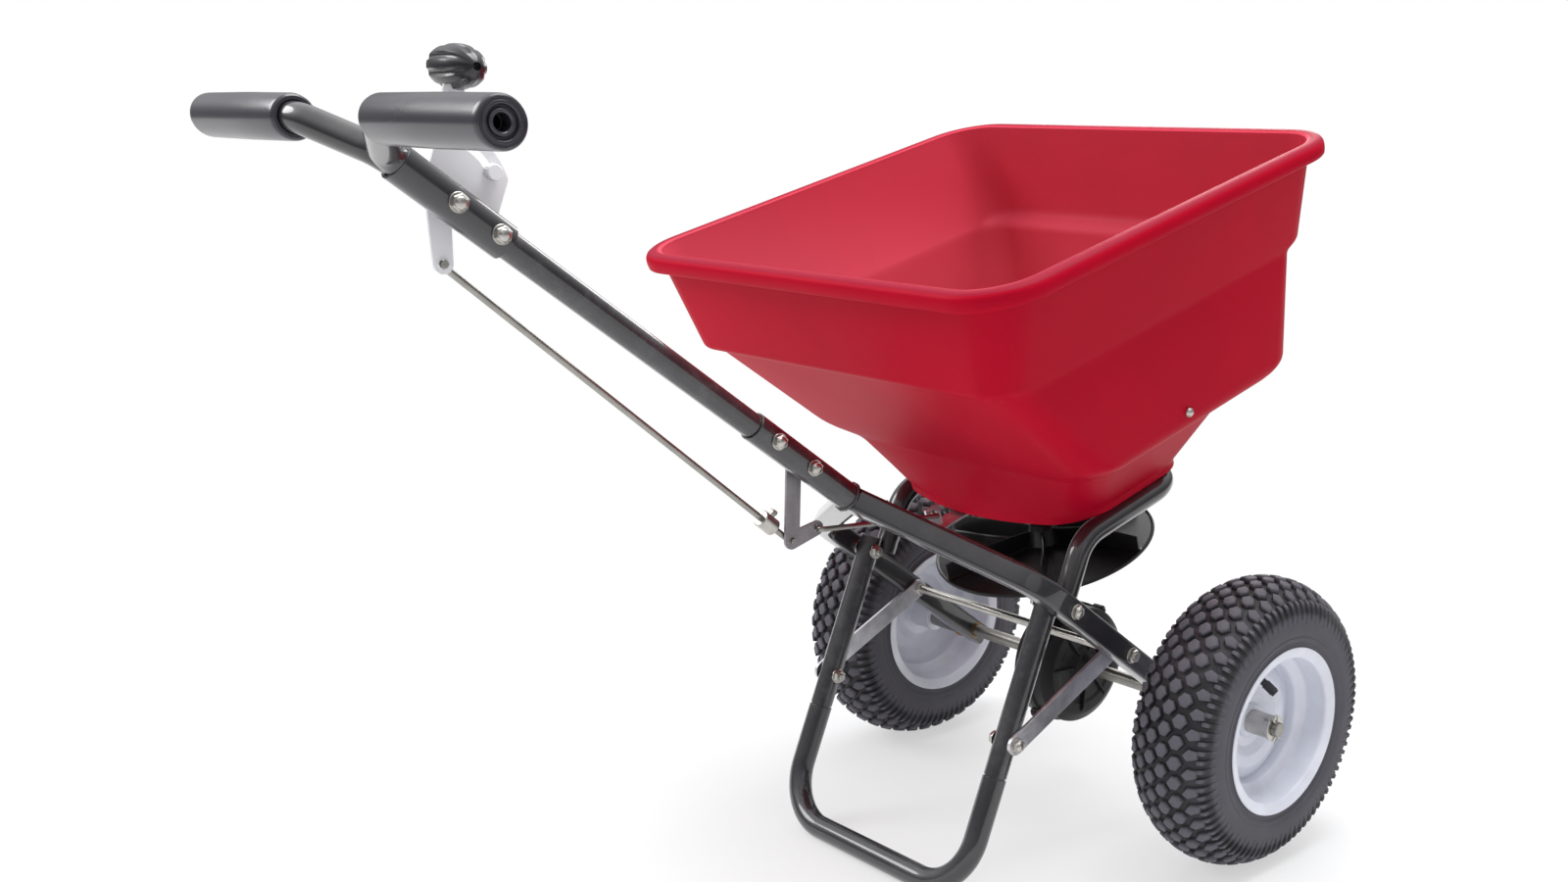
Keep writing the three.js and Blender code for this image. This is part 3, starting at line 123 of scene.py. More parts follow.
# frame and stand
RING_X = 147.0
RING_Z = BASE_Z - GAP - TUBE_R
RAIL_X = RING_X + TUBE_R + STRAP_T + 2 * GAP + RAIL_SIZE / 2
RAIL_OUTSIDE = RAIL_X + RAIL_SIZE / 2
BRACE_X = RING_X + TUBE_R + GAP
STAND_LEAN = math.radians(50.9)
UP_LEG = Vector((0, math.cos(STAND_LEAN), math.sin(STAND_LEAN)))
BEHIND_LEG = Vector((0, -math.sin(STAND_LEAN), math.cos(STAND_LEAN)))
LEG_KNEE = Vector((RING_X, -77.0, RING_Z))
LEG_LINE = LEG_KNEE + BEHIND_LEG * (2 * TUBE_R + GAP)
FOOT_JOINT = 135.0
FOOT_R = 13.3
BRACE_BOLT_Z = 78.0

# handle: places along its line are counted from the axle
HANDLE_RISE = math.radians(53.4)
CROSS_ROD_AT = 130.0
NECK_FOOT = 431.0
LOWER_FOOT = 477.0
CRANK_AT = 498.0
NECK_BOLT_AT = 551.0
NECK_TOP = 577.0
SLEEVE_FOOT = 878.0
SLEEVE_BOLT_AT = 891.0
LEVER_AT = 934.0
LOWER_TOP = 977.0
SLEEVE_TOP = 985.0
GRIP_LINE = 1037.0
GRIP_END = 256.0
GRIP_LENGTH = 178.0
NECK_R = 14.8
SLEEVE_R = 16.0


def on_handle(s, x=0.0, off=0.0):
    """Point s along the handle line from the axle, and off square to it, upwards."""
    c, d = math.cos(HANDLE_RISE), math.sin(HANDLE_RISE)
    return Vector((x, -s * c + off * d, s * d + off * c))


UP_HANDLE = (on_handle(1) - on_handle(0)).normalized()
OFF_HANDLE = Vector((0, math.sin(HANDLE_RISE), math.cos(HANDLE_RISE)))


def polar(start, length, degrees):
    """Point at a length and an angle from another in the side plane."""
    a = math.radians(degrees)
    return Vector((start.x, start.y + length * math.cos(a), start.z + length * math.sin(a)))


def in_mm(metres):
    """A length of the settings in millimetres."""
    return round(metres * 1000, 3)


def both_sides(build, *rest):
    """Builds a piece on the right and its mirror image on the left."""
    for side, name in SIDES:
        build(side, name, *rest)


def at_x(point, x):
    """The point moved to another place across the machine."""
    return Vector((x, point.y, point.z))


def at_z(z):
    return Vector((0, 0, z))


def joint_place(name):
    """A joint's place in the upright machine's millimetres."""
    return PARKED.inverted() @ Vector(JOINTS[name]["pos_m"])


def leg_at(z):
    """Point of the right leg's centre line at a height of the upright machine."""
    return LEG_LINE + UP_LEG * ((z - LEG_LINE.z) / UP_LEG.z)


def leg_at_height(height):
    """Point of the right leg's centre line at a height above the floor when parked."""
    def above(p):
        return TYRE_R + p.y * math.sin(PARK_TILT) + p.z * math.cos(PARK_TILT)
    rise = above(UP_LEG) - TYRE_R
    return LEG_LINE + UP_LEG * ((height - above(LEG_LINE)) / rise)


def leg_at_rail():
    """Point of the right leg's centre line beside the handle line."""
    line = on_handle(1)
    cross = UP_LEG.y * line.z - UP_LEG.z * line.y
    return LEG_LINE + UP_LEG * ((line.y * LEG_LINE.z - line.z * LEG_LINE.y) / cross)


# controls, in planes square to X
LEVER_X = -20.0
LEVER_T = 3.0
LEVER_INSIDE = LEVER_X - LEVER_T / 2
LEVER_PIVOT = joint_place("lever_swing")
LEVER_ROD_PIN = joint_place("rod_swing")
CRANK_PIVOT = joint_place("crank_swing")
LINK_PIN = joint_place("link_swing")
CRANK_ROD_PIN = polar(CRANK_PIVOT, 81.6, 250.7)
LEVER_REST = 60.5
LEVER_SWING = 33.0
KNOB_AT = polar(LEVER_PIVOT, 107, LEVER_REST)
GAUGE_T = 2.0
GAUGE_R = 62.0
SLOT_OUTER_R = 54.0
SLOT_INNER_R = 47.0
GAUGE_X = -SLEEVE_R - GAP - GAUGE_T
EAR_PIN = Vector((LEVER_X, -142, BASE_Z - GAP + 14))
ROD_R = 3.2
ROD_X = LEVER_INSIDE - GAP - ROD_R - 1
PIVOT_HOLE_R = 4.3


# ---- mesh tools -----------------------------------------------------------------------
def round_edges(piece, width, angle):
    """Bevels the edges that turn by more than the angle."""
    edge = piece.modifiers.new("Rounded edges", "BEVEL")
    edge.width = width / 1000
    edge.segments = 2
    edge.limit_method = "ANGLE"
    edge.angle_limit = math.radians(angle)
    return edge


def finish_piece(name, bm, tone, node, bevel=0.0, sharp=34, side=1):
    """Turns a bmesh in machine millimetres into a piece that stands for its CAD node.

    With = before the node, the piece is one more of that node's body and replaces nothing.
    """
    bmesh.ops.recalc_face_normals(bm, faces=bm.faces)
    if side < 0:
        bm.transform(MIRROR)
        bmesh.ops.reverse_faces(bm, faces=bm.faces)
    bm.transform(PARKED)
    mesh = bpy.data.meshes.new(name)
    bm.to_mesh(mesh)
    bm.free()
    mesh.shade_smooth()
    mesh.set_sharp_from_angle(angle=math.radians(sharp))
    mesh.materials.append(finish(tone))
    piece = bpy.data.objects.new(name, mesh)
    bpy.context.scene.collection.objects.link(piece)
    if bevel:
        round_edges(piece, bevel, sharp).harden_normals = True
    if node.startswith("="):
        node = node[1:]
    else:
        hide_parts(node)
    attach(piece, BODY_OF[node])


def refinish(node, tone, bevel):
    """Gives a CAD node that keeps its own shape its finish and soft edges."""
    piece = frame["nodes"][node]
    if not piece.material_slots:
        raise RuntimeError(f"{node} has no material slot")
    for slot in piece.material_slots:
        slot.material = finish(tone)
    round_edges(piece, bevel, 35)


def merge(bm, other):
    """Adds the second bmesh to the first and frees it."""
    mesh = bpy.data.meshes.new("merge")
    other.to_mesh(mesh)
    other.free()
    bm.from_mesh(mesh)
    bpy.data.meshes.remove(mesh)


def trim(bm, point, normal):
    """Cuts away what lies beyond a plane."""
    geometry = [*bm.verts, *bm.edges, *bm.faces]
    bmesh.ops.bisect_plane(bm, geom=geometry, plane_co=point, plane_no=normal, clear_outer=True)


def trim_at_middle(bm):
    """Leaves the right half of the machine, half a gap short of the middle."""
    trim(bm, (GAP / 2, 0, 0), (-1, 0, 0))


def pairs_round(loop):
    """Each item of a loop with the one after it."""
    return zip(loop, loop[1:] + loop[:1])


def band(bm, low, high):
    """Faces between two loops of equally many corners."""
    for (a, b), (c, d) in zip(pairs_round(low), pairs_round(high)):
        bm.faces.new((a, b, d, c))


def skin(bm, rings, closed=False, cap=True):
    """Faces between rings, capped at the ends, left open or closed end to end."""
    rows = [[bm.verts.new(p) for p in ring] for ring in rings]
    for a, b in zip(rows, rows[1:]):
        band(bm, a, b)
    if closed:
        band(bm, rows[-1], rows[0])
    elif cap:
        bm.faces.new(rows[0][::-1])
        bm.faces.new(rows[-1])
    return rows


def fill(bm, loops):
    """Flat face inside the first loop of corners and outside the others."""
    edges = [bm.edges.get(pair) or bm.edges.new(pair) for loop in loops for pair in pairs_round(loop)]
    bmesh.ops.triangle_fill(bm, use_beauty=True, use_dissolve=False, edges=edges)


def turns(count):
    """Evenly spaced angles once round."""
    return [2 * math.pi * k / count for k in range(count)]


def circle(radius, count, turn=0.0):
    return [(radius * math.cos(a + turn), radius * math.sin(a + turn)) for a in turns(count)]


def square(size, corner):
    """Square section with rounded corners."""
    reach = size / 2 - corner
    points = []
    for quarter, (sx, sy) in enumerate(((1, 1), (-1, 1), (-1, -1), (1, -1))):
        for k in range(6):
            a = math.radians(90 * quarter + 18 * k)
            points.append((sx * reach + corner * math.cos(a), sy * reach + corner * math.sin(a)))
    return points


def about_axle(x, radius, angle):
    """Point round the axle line, the angle counted from straight up towards the front."""
    return Vector((x, radius * math.sin(angle), radius * math.cos(angle)))


def rounded(points, radii, steps=6):
    """Stations (point, tangent) along a line through the points, its turns rounded."""
    stations = [(points[0], (points[1] - points[0]).normalized())]
    for before, corner, after, radius in zip(points, points[1:], points[2:], radii):
        u = (corner - before).normalized()
        w = (after - corner).normalized()
        turn = math.acos(max(-1, min(1, u.dot(w))))
        inward = (w - u * u.dot(w)).normalized()
        start = corner - u * radius * math.tan(turn / 2)
        centre = start + inward * radius
        for k in range(steps + 1):
            a = turn * k / steps
            stations.append((centre - inward * radius * math.cos(a) + u * radius * math.sin(a),
                             u * math.cos(a) + inward * math.sin(a)))
    stations.append((points[-1], (points[-1] - points[-2]).normalized()))
    return stations


def along(stations, section, normal=None):
    """Rings of a section carried along stations, by parallel transport or a fixed normal."""
    rings = []
    n = normal or stations[0][1].orthogonal().normalized()
    for point, tangent in stations:
        n = normal or (n - tangent * n.dot(tangent)).normalized()
        b = tangent.cross(n).normalized()
        rings.append([point + n * u + b * v for u, v in section])
    return rings


def tube(stations, outer, inner, normal=None):
    """Hollow tube between two sections."""
    bm = bmesh.new()
    skin(bm, along(stations, outer, normal) + along(stations, inner, normal)[::-1], closed=True)
    return bm


def round_tube(corners, radii, radius, wall=TUBE_WALL, steps=10, count=28):
    """Round tube bent along the corners."""
    return tube(rounded(corners, radii, steps), circle(radius, count), circle(radius - wall, count))


def bent_rod(bm, points, radii, radius, steps=8, count=20):
    """Solid rod bent along the points."""
    stations = rounded(points, radii, steps)
    skin(bm, along(stations, circle(radius, count)))
    return stations


def discs(bm, axis, rows, count, turn=0.0):
    """Solid through circles square to an axis, each given as (centre, radius)."""
    skin(bm, [along([(centre, axis)], circle(radius, count, turn))[0] for centre, radius in rows])


def cylinder(bm, a, b, radius, count=24, chamfer=0.0):
    """Rod from a to b, its ends chamfered."""
    axis = (b - a).normalized()
    rows = [(a, radius), (b, radius)]
    if chamfer:
        rows = [(a, radius - chamfer), (a + axis * chamfer, radius),
                (b - axis * chamfer, radius), (b, radius - chamfer)]
    discs(bm, axis, rows, count)


def hexagon(bm, a, b, across, dome=0.0, turn=0.0):
    """Hexagonal prism from a to b, its outer end b worn round and perhaps domed."""
    axis = (b - a).normalized()
    radius = across / math.sqrt(3)
    discs(bm, axis, [(a, radius), (b - axis * 0.8, radius), (b, radius * 0.9)], 6, turn)
    if dome:
        discs(bm, axis, [(b + axis * dome * math.sin(t), across * 0.42 * math.cos(t))
                         for t in (0, 0.35, 0.7, 1.05, 1.4)], 20)


def bolt(bm, a, b):
    """M8 bolt with its head beyond b and a washer and nut beyond a."""
    axis = (b - a).normalized()
    cylinder(bm, a - axis * 9.5, b + axis, 3.8, 20, 0.6)
    cylinder(bm, b + axis * 0.1, b + axis * WASHER_T, WASHER_R, 28, 0.3)
    hexagon(bm, b + axis * WASHER_T, b + axis * 5.4, NUT_ACROSS, 2.2, 0.3)
    cylinder(bm, a - axis * WASHER_T, a - axis * 0.1, WASHER_R, 28, 0.3)
    hexagon(bm, a - axis * WASHER_T, a - axis * 6.6, NUT_ACROSS, turn=0.7)


def weld_bead(bm, centre, axes, radius, swells, sides):
    """Rippled bead round a joint; swells holds its half thickness at each step round."""
    axis, first, second = axes
    rings = []
    for a, swell in zip(turns(len(swells)), swells):
        out = first * math.cos(a) + second * math.sin(a)
        rings.append([centre + out * (radius + swell * math.cos(t)) + axis * (swell * math.sin(t))
                      for t in turns(sides)])
    skin(bm, rings, closed=True)


def fillet_profile(profile, radii, steps=4):
    """Rounds the corners of a closed outline, with one radius or one for each corner."""
    if isinstance(radii, (int, float)):
        radii = [radii] * len(profile)
    out = []
    for i, (corner, radius) in enumerate(zip(profile, radii)):
        p, a, b = Vector(corner), Vector(profile[i - 1]), Vector(profile[(i + 1) % len(profile)])
        u, w = (a - p), (b - p)
        lu, lw = u.length, w.length
        u.normalize()
        w.normalize()
        half = math.acos(max(-1, min(1, u.dot(w)))) / 2
        if not radius or half > math.radians(87):
            out.append(tuple(corner))
            continue
        reach = min(radius / max(math.tan(half), 1e-3), 0.45 * lu, 0.45 * lw)
        start, end = p + u * reach, p + w * reach
        for k in range(steps + 1):
            t = k / steps
            q = start * (1 - t) ** 2 + p * 2 * t * (1 - t) + end * t * t
            out.append((q.x, q.y))
    return out


def lathe(bm, profile, centre, axis="X", count=48):
    """Turns a closed profile of (place along the axis, radius) about an axis through centre."""
    rings = []
    for a in turns(count):
        c, s = math.cos(a), math.sin(a)
        if axis == "X":
            ring = [Vector((p, r * c, r * s)) for p, r in profile]
        else:
            ring = [Vector((r * c, r * s, p)) for p, r in profile]
        rings.append([centre + q for q in ring])
    skin(bm, rings, closed=True)


def turned(profile, centre=ORIGIN, axis="X", count=48):
    """Solid of its own turned from a profile."""
    bm = bmesh.new()
    lathe(bm, profile, centre, axis, count)
    return bm


def arc_2d(centre, radius, start, sweep, count):
    """Points along an arc in the side plane, as (y, z)."""
    angles = [start + sweep * k / (count - 1) for k in range(count)]
    return [(centre.y + radius * math.cos(t), centre.z + radius * math.sin(t)) for t in angles]


def hole(centre, radius):
    """Round hole for a plate, as (y, z)."""
    return arc_2d(centre, radius, 0.0, 2 * math.pi, 25)[-2::-1]


def strap_outline(a, b, width):
    """Round-ended strap between two points, as (y, z)."""
    angle = math.atan2(b.z - a.z, b.y - a.y)
    return (arc_2d(b, width / 2, angle - math.pi / 2, math.pi, 11)
            + arc_2d(a, width / 2, angle + math.pi / 2, math.pi, 11))


def knee_outline(a, corner, b, widths):
    """Two-armed strap a - corner - b, as (y, z), round at both ends and at the knee."""
    width_a, width_corner, width_b = widths
    first = math.atan2(corner.z - a.z, corner.y - a.y)
    second = math.atan2(b.z - corner.z, b.y - corner.y)
    bend = (second - first + math.pi) % (2 * math.pi) - math.pi
    outer = -1 if bend > 0 else 1
    # the inner sides of the two arms meet on the line that halves the knee
    half = (math.pi - abs(bend)) / 2
    inward = first + bend / 2 - outer * math.pi / 2
    reach = width_corner / 2 / math.sin(half)
    inner = (corner.y + math.cos(inward) * reach, corner.z + math.sin(inward) * reach)
    knee_steps = max(2, round(abs(bend) / math.pi * 12) + 1)
    return [*arc_2d(a, width_a / 2, first - outer * math.pi / 2, -outer * math.pi, 13),
            *arc_2d(corner, width_corner / 2, first + outer * math.pi / 2, bend, knee_steps),
            *arc_2d(b, width_b / 2, second + outer * math.pi / 2, -outer * math.pi, 13), inner]


def plate(outline, x0, thickness, holes):
    """Flat plate square to X, its outline and holes given as (y, z)."""
    bm = bmesh.new()
    faces = []
    for x in (x0, x0 + thickness):
        loops = [[bm.verts.new((x, y, z)) for y, z in loop] for loop in (outline, *holes)]
        fill(bm, loops)
        faces.append(loops)
    for near, far in zip(*faces):
        band(bm, near, far)
    return bm


# ---- shader nodes and groups ----------------------------------------------------------
FLOAT = "NodeSocketFloat"


def connect(tree, socket, value):
    """Links a socket to another one, or gives it a plain value."""
    if isinstance(value, bpy.types.NodeSocket):
        tree.links.new(value, socket)
    elif socket.type == "RGBA":
        socket.default_value = (*value[:3], 1.0)
    else:
        socket.default_value = value


def feed(tree, node, **values):
    """Feeds a node's inputs by their labels, with _ for a space."""
    for label, value in values.items():
        connect(tree, node.inputs[label.replace("_", " ")], value)
    return node


def add_node(tree, kind, **values):
    """New node, its inputs fed at once."""
    return feed(tree, tree.nodes.new(kind), **values)


def math_node(tree, operation, a, b=None, clamp=False):
    node = tree.nodes.new("ShaderNodeMath")
    node.operation = operation
    node.use_clamp = clamp
    connect(tree, node.inputs[0], a)
    if b is not None:
        connect(tree, node.inputs[1], b)
    return node.outputs[0]


def plus(tree, a, b, clamp=False):
    return math_node(tree, "ADD", a, b, clamp)


def minus(tree, a, b):
    return math_node(tree, "SUBTRACT", a, b)


def times(tree, a, b, clamp=False):
    return math_node(tree, "MULTIPLY", a, b, clamp)


def vector_node(tree, operation, a, b=None):
    """Result of a vector operation: a value or a vector."""
    node = tree.nodes.new("ShaderNodeVectorMath")
    node.operation = operation
    connect(tree, node.inputs[0], a)
    if b is not None:
        connect(tree, node.inputs[1], b)
    return node.outputs["Value" if operation in ("DOT_PRODUCT", "LENGTH") else "Vector"]


def part_of(tree, vector, letter):
    return add_node(tree, "ShaderNodeSeparateXYZ", Vector=vector).outputs[letter]


def coordinates(tree, label="Object"):
    return tree.nodes.new("ShaderNodeTexCoord").outputs[label]


def noise_node(tree, vector, scale, detail, roughness=0.55):
    noise = add_node(tree, "ShaderNodeTexNoise", Vector=vector, Scale=scale, Detail=detail,
                     Roughness=roughness)
    return noise.outputs["Fac"]


def ramp(tree, value, low, high):
    """0 below low, 1 above high, and a smooth step between."""
    node = add_node(tree, "ShaderNodeMapRange", Value=value, From_Min=low, From_Max=high)
    node.interpolation_type = "SMOOTHSTEP"
    return node.outputs["Result"]


def mix_colour(tree, factor, a, b):
    """Colour a, turning to b as the factor rises."""
    node = tree.nodes.new("ShaderNodeMix")
    node.data_type = "RGBA"
    for socket, value in zip([s for s in node.inputs if s.enabled], (factor, a, b)):
        connect(tree, socket, value)
    return next(s for s in node.outputs if s.enabled)


def mix_shader(tree, factor, a, b):
    mix = add_node(tree, "ShaderNodeMixShader", Fac=factor)
    connect(tree, mix.inputs[1], a)
    connect(tree, mix.inputs[2], b)
    return mix.outputs["Shader"]


def new_group(name, inputs, outputs):
    """Shader group with its input sockets and its output node."""
    group = bpy.data.node_groups.new(name, "ShaderNodeTree")
    for label, kind, value in inputs:
        socket = group.interface.new_socket(label, in_out="INPUT", socket_type=kind)
        socket.default_value = value
    for label in outputs:
        group.interface.new_socket(label, in_out="OUTPUT", socket_type=FLOAT)
    return group, group.nodes.new("NodeGroupInput").outputs, group.nodes.new("NodeGroupOutput")


def moulded_grain():
    """Fine skin of moulded plastic or cured paint: height, and a little uneven gloss."""
    group, given, result = new_group("Moulded Grain", [("Scale", FLOAT, 900.0), ("Waviness", FLOAT, 0.25)],
                                     ["Height", "Gloss Drift"])
    where = coordinates(group)
    fine = noise_node(group, where, given["Scale"], 2.0)
    wave = times(group, noise_node(group, where, 38.0, 2.0), given["Waviness"])
    drift = minus(group, noise_node(group, where, 9.0, 4.0), 0.5)
    feed(group, result, Height=plus(group, fine, wave), Gloss_Drift=drift)
    return group


def soft_clouds():
    """Mask of soft clouds, for tones that drift over a surface."""
    group, given, result = new_group("Soft Clouds", [
        ("Scale", FLOAT, 7.0), ("Detail", FLOAT, 4.0), ("Roughness", FLOAT, 0.55),
        ("Low", FLOAT, 0.3), ("High", FLOAT, 0.7)], ["Mask"])
    noise = noise_node(group, coordinates(group), given["Scale"], given["Detail"], given["Roughness"])
    feed(group, result, Mask=ramp(group, noise, given["Low"], given["High"]))
    return group


def settled_dust():
    """Mask of pale dust on upward faces and in patches."""
    group, given, result = new_group("Settled Dust", [("Amount", FLOAT, 0.2), ("Patch Scale", FLOAT, 14.0)],
                                     ["Mask"])
    normal = group.nodes.new("ShaderNodeNewGeometry").outputs["Normal"]
    up = ramp(group, part_of(group, normal, "Z"), -0.2, 1.0)
    patch = ramp(group, noise_node(group, coordinates(group), given["Patch Scale"], 5.0, 0.65), 0.42, 0.75)
    feed(group, result, Mask=times(group, times(group, up, patch), given["Amount"], True))
    return group


def edge_wear():
    """Mask of bare edges where a finish rubs through."""
    group, given, result = new_group("Edge Wear", [("Amount", FLOAT, 0.4), ("Break Up", FLOAT, 60.0)],
                                     ["Mask"])
    edge = ramp(group, group.nodes.new("ShaderNodeNewGeometry").outputs["Pointiness"], 0.53, 0.62)
    patch = ramp(group, noise_node(group, coordinates(group), given["Break Up"], 4.0, 0.7), 0.45, 0.7)
    feed(group, result, Mask=times(group, times(group, edge, patch), given["Amount"], True))
    return group


def drawn_grain():
    """Long fine scratches of drawn or rolled metal, with cloudy tones."""
    group, given, result = new_group(
        "Drawn Grain", [("Across", FLOAT, 1400.0), ("Stretch", "NodeSocketVector", (1.0, 1.0, 0.05))],
        ["Height", "Tone"])
    where = coordinates(group)
    drawn = vector_node(group, "MULTIPLY", where, given["Stretch"])
    fine = noise_node(group, drawn, given["Across"], 3.0, 0.6)
    blotch = noise_node(group, where, 55.0, 4.0, 0.6)
    feed(group, result, Height=fine, Tone=plus(group, times(group, fine, 0.4), times(group, blotch, 0.6)))
    return group


GROUPS = {}


def placed(tree, make_group, **values):
    """Outputs of a shared group placed in a material with its own values."""
    if make_group not in GROUPS:
        GROUPS[make_group] = make_group()
    node = tree.nodes.new("ShaderNodeGroup")
    node.node_tree = GROUPS[make_group]
    return feed(tree, node, **values).outputs


# ---- finishes -------------------------------------------------------------------------
def start_finish(name):
    """New material with its node tree and Principled shader."""
    material = bpy.data.materials.new(name)
    material.use_nodes = True
    return material, material.node_tree, material.node_tree.nodes["Principled BSDF"]


def shaded(colour, share):
    """The colour made darker or lighter."""
    return tuple(c * share for c in colour)


def cloudy(tree, colour, share, scale, detail):
    """Colour that drifts to a deeper tone in soft clouds."""
    cloud = placed(tree, soft_clouds, Scale=scale, Detail=detail)["Mask"]
    return mix_colour(tree, cloud, shaded(colour, share), colour)


def bumped(tree, height, strength, distance):
    bump = add_node(tree, "ShaderNodeBump", Strength=strength, Distance=distance, Height=height)
    return bump.outputs["Normal"]


def plastic(name, colour, roughness, grain, bump, dust=0.12, drift=0.12, coat=0.0, shine=0.5,
            deepest=0.88, dust_colour=(0.55, 0.52, 0.48), painted_inner_light=0.0):
    """Moulded plastic: grain, drifting gloss, a slight change of depth in the colour, thin dust, and on the
    hopper painted light inside and painted shade on the lip.
    """
    material, tree, bsdf = start_finish(name)
    surface = placed(tree, moulded_grain, Scale=grain, Waviness=0.3)
    dusty = placed(tree, settled_dust, Amount=dust)["Mask"]
    tone = cloudy(tree, colour, deepest, scale=7.0, detail=4.0)
    # painted light on the hopper's inner faces and painted shade on its lip, set only for the hopper
    if painted_inner_light:
        tone = painted_hopper_light(tree, tone, painted_inner_light)
    rough = plus(tree, times(tree, surface["Gloss Drift"], drift), roughness)
    feed(tree, bsdf, Base_Color=mix_colour(tree, dusty, tone, dust_colour),
         Roughness=plus(tree, rough, times(tree, dusty, 0.3), True), Specular_IOR_Level=shine,
         Coat_Weight=coat, Coat_Roughness=0.12, Normal=bumped(tree, surface["Height"], bump, 0.0003))
    return material


def painted_hopper_light(tree, tone, painted_inner_light):
    """Hopper: painted light that makes the inner faces paler the deeper inside, standing in for light
    through the wall, and painted shade that makes upward outer faces such as the lip a deeper red.
    """
    where = coordinates(tree)
    normal = coordinates(tree, "Normal")
    to_heart = vector_node(tree, "SUBTRACT", HOPPER_HEART, where)
    # painted light: faces turned to the hopper's inside grow a paler pink, the more so the lower they lie
    inner = ramp(tree, vector_node(tree, "DOT_PRODUCT", normal, to_heart), 0.0, 0.06)
    depth = minus(tree, 1.0, ramp(tree, part_of(tree, where, "Z"), 0.60, 0.74))
    amount = plus(tree, times(tree, depth, painted_inner_light * 0.9), painted_inner_light)
    tone = mix_colour(tree, times(tree, inner, amount), tone, (0.95, 0.3, 0.4))
    # painted shade: upward outer faces, the lip above all, turn a deeper red
    lip = times(tree, ramp(tree, part_of(tree, normal, "Z"), 0.45, 0.8), minus(tree, 1.0, inner))
    return mix_colour(tree, lip, tone, (0.30, 0.010, 0.030))


def paint(name, colour, roughness, coat, orange_peel=520.0, bump=0.1, wear=0.5, dust=0.1):
    """Powder coat or enamel: orange peel under a clear gloss, rubbed edges, thin dust."""
    material, tree, bsdf = start_finish(name)
    surface = placed(tree, moulded_grain, Scale=orange_peel, Waviness=0.5)
    dusty = placed(tree, settled_dust, Amount=dust)["Mask"]
    rubbed = placed(tree, edge_wear, Amount=wear)["Mask"]
    tone = cloudy(tree, colour, 0.86, scale=16.0, detail=3.0)
    tone = mix_colour(tree, rubbed, tone, (0.36, 0.35, 0.34))
    rough = plus(tree, times(tree, surface["Gloss Drift"], 0.15), roughness)
    feed(tree, bsdf, Base_Color=mix_colour(tree, dusty, tone, (0.5, 0.48, 0.45)),
         Roughness=plus(tree, rough, times(tree, rubbed, 0.2), True),
         Coat_Weight=coat, Coat_Roughness=0.05, Normal=bumped(tree, surface["Height"], bump, 0.0003))
    return material


def metal(name, colour, roughness, across=1400.0, stretch=(1.0, 1.0, 0.05)):
    """Plated or bare metal: drawn grain, cloudy tone, brighter rubbed edges."""
    material, tree, bsdf = start_finish(name)
    drawn = placed(tree, drawn_grain, Across=across, Stretch=stretch)
    rubbed = placed(tree, edge_wear, Amount=0.3)["Mask"]
    tone = mix_colour(tree, ramp(tree, drawn["Tone"], 0.3, 0.7), shaded(colour, 0.72), colour)
    bright = tuple(min(1.0, c) for c in shaded(colour, 1.25))
    rough = times(tree, minus(tree, drawn["Tone"], 0.5), 0.25)
    feed(tree, bsdf, Base_Color=mix_colour(tree, rubbed, tone, bright), Metallic=1.0,
         Roughness=plus(tree, rough, roughness, True), Normal=bumped(tree, drawn["Height"], 0.12, 0.0002))
    return material


def rubber(name, colour):
    """Tyre rubber: painted light on the stud tops over darker grooves, painted shade on the side wall beside
    the rim, drifting tone and thin dust.
    """
    material, tree, bsdf = start_finish(name)
    where = coordinates(tree)
    surface = placed(tree, moulded_grain, Scale=700.0, Waviness=0.6)
    dusty = placed(tree, settled_dust, Amount=0.1, Patch_Scale=22.0)["Mask"]
    from_axle = vector_node(tree, "MULTIPLY", vector_node(tree, "SUBTRACT", where, AXLE), (0, 1, 1))
    radius = vector_node(tree, "LENGTH", from_axle)
    # the crown falls away towards the shoulders, so stud tops are judged by their height above it
    off = minus(tree, math_node(tree, "ABSOLUTE", part_of(tree, where, "X")), WHEEL_X / 1000)
    share = math_node(tree, "DIVIDE", math_node(tree, "ABSOLUTE", off), TREAD_HALF / 1000)
    fall = times(tree, math_node(tree, "POWER", share, CROWN_POWER), CROWN_DROP / 1000)
    # painted light: stud tops turn lighter than the grooves, which stay darker as painted shade
    tops = ramp(tree, plus(tree, radius, fall), 0.1605, 0.1640)
    # painted shade: the side wall darkens towards the rim
    side = minus(tree, 1.0, ramp(tree, radius, 0.129, 0.136))
    tone = mix_colour(tree, side, shaded(colour, 0.2), colour)
    tone = mix_colour(tree, tops, tone, shaded(colour, 1.45))
    cloud = placed(tree, soft_clouds, Scale=20.0, Detail=5.0, Roughness=0.65, Low=0.35, High=0.75)["Mask"]
    tone = mix_colour(tree, times(tree, cloud, 0.35), tone, shaded(colour, 1.5))
    rough = plus(tree, times(tree, surface["Gloss Drift"], 0.2), 0.62, True)
    feed(tree, bsdf, Base_Color=mix_colour(tree, dusty, tone, (0.16, 0.15, 0.14)), Roughness=rough,
         Normal=bumped(tree, surface["Height"], 0.25, 0.0005))
    return material


FINISHES = {}


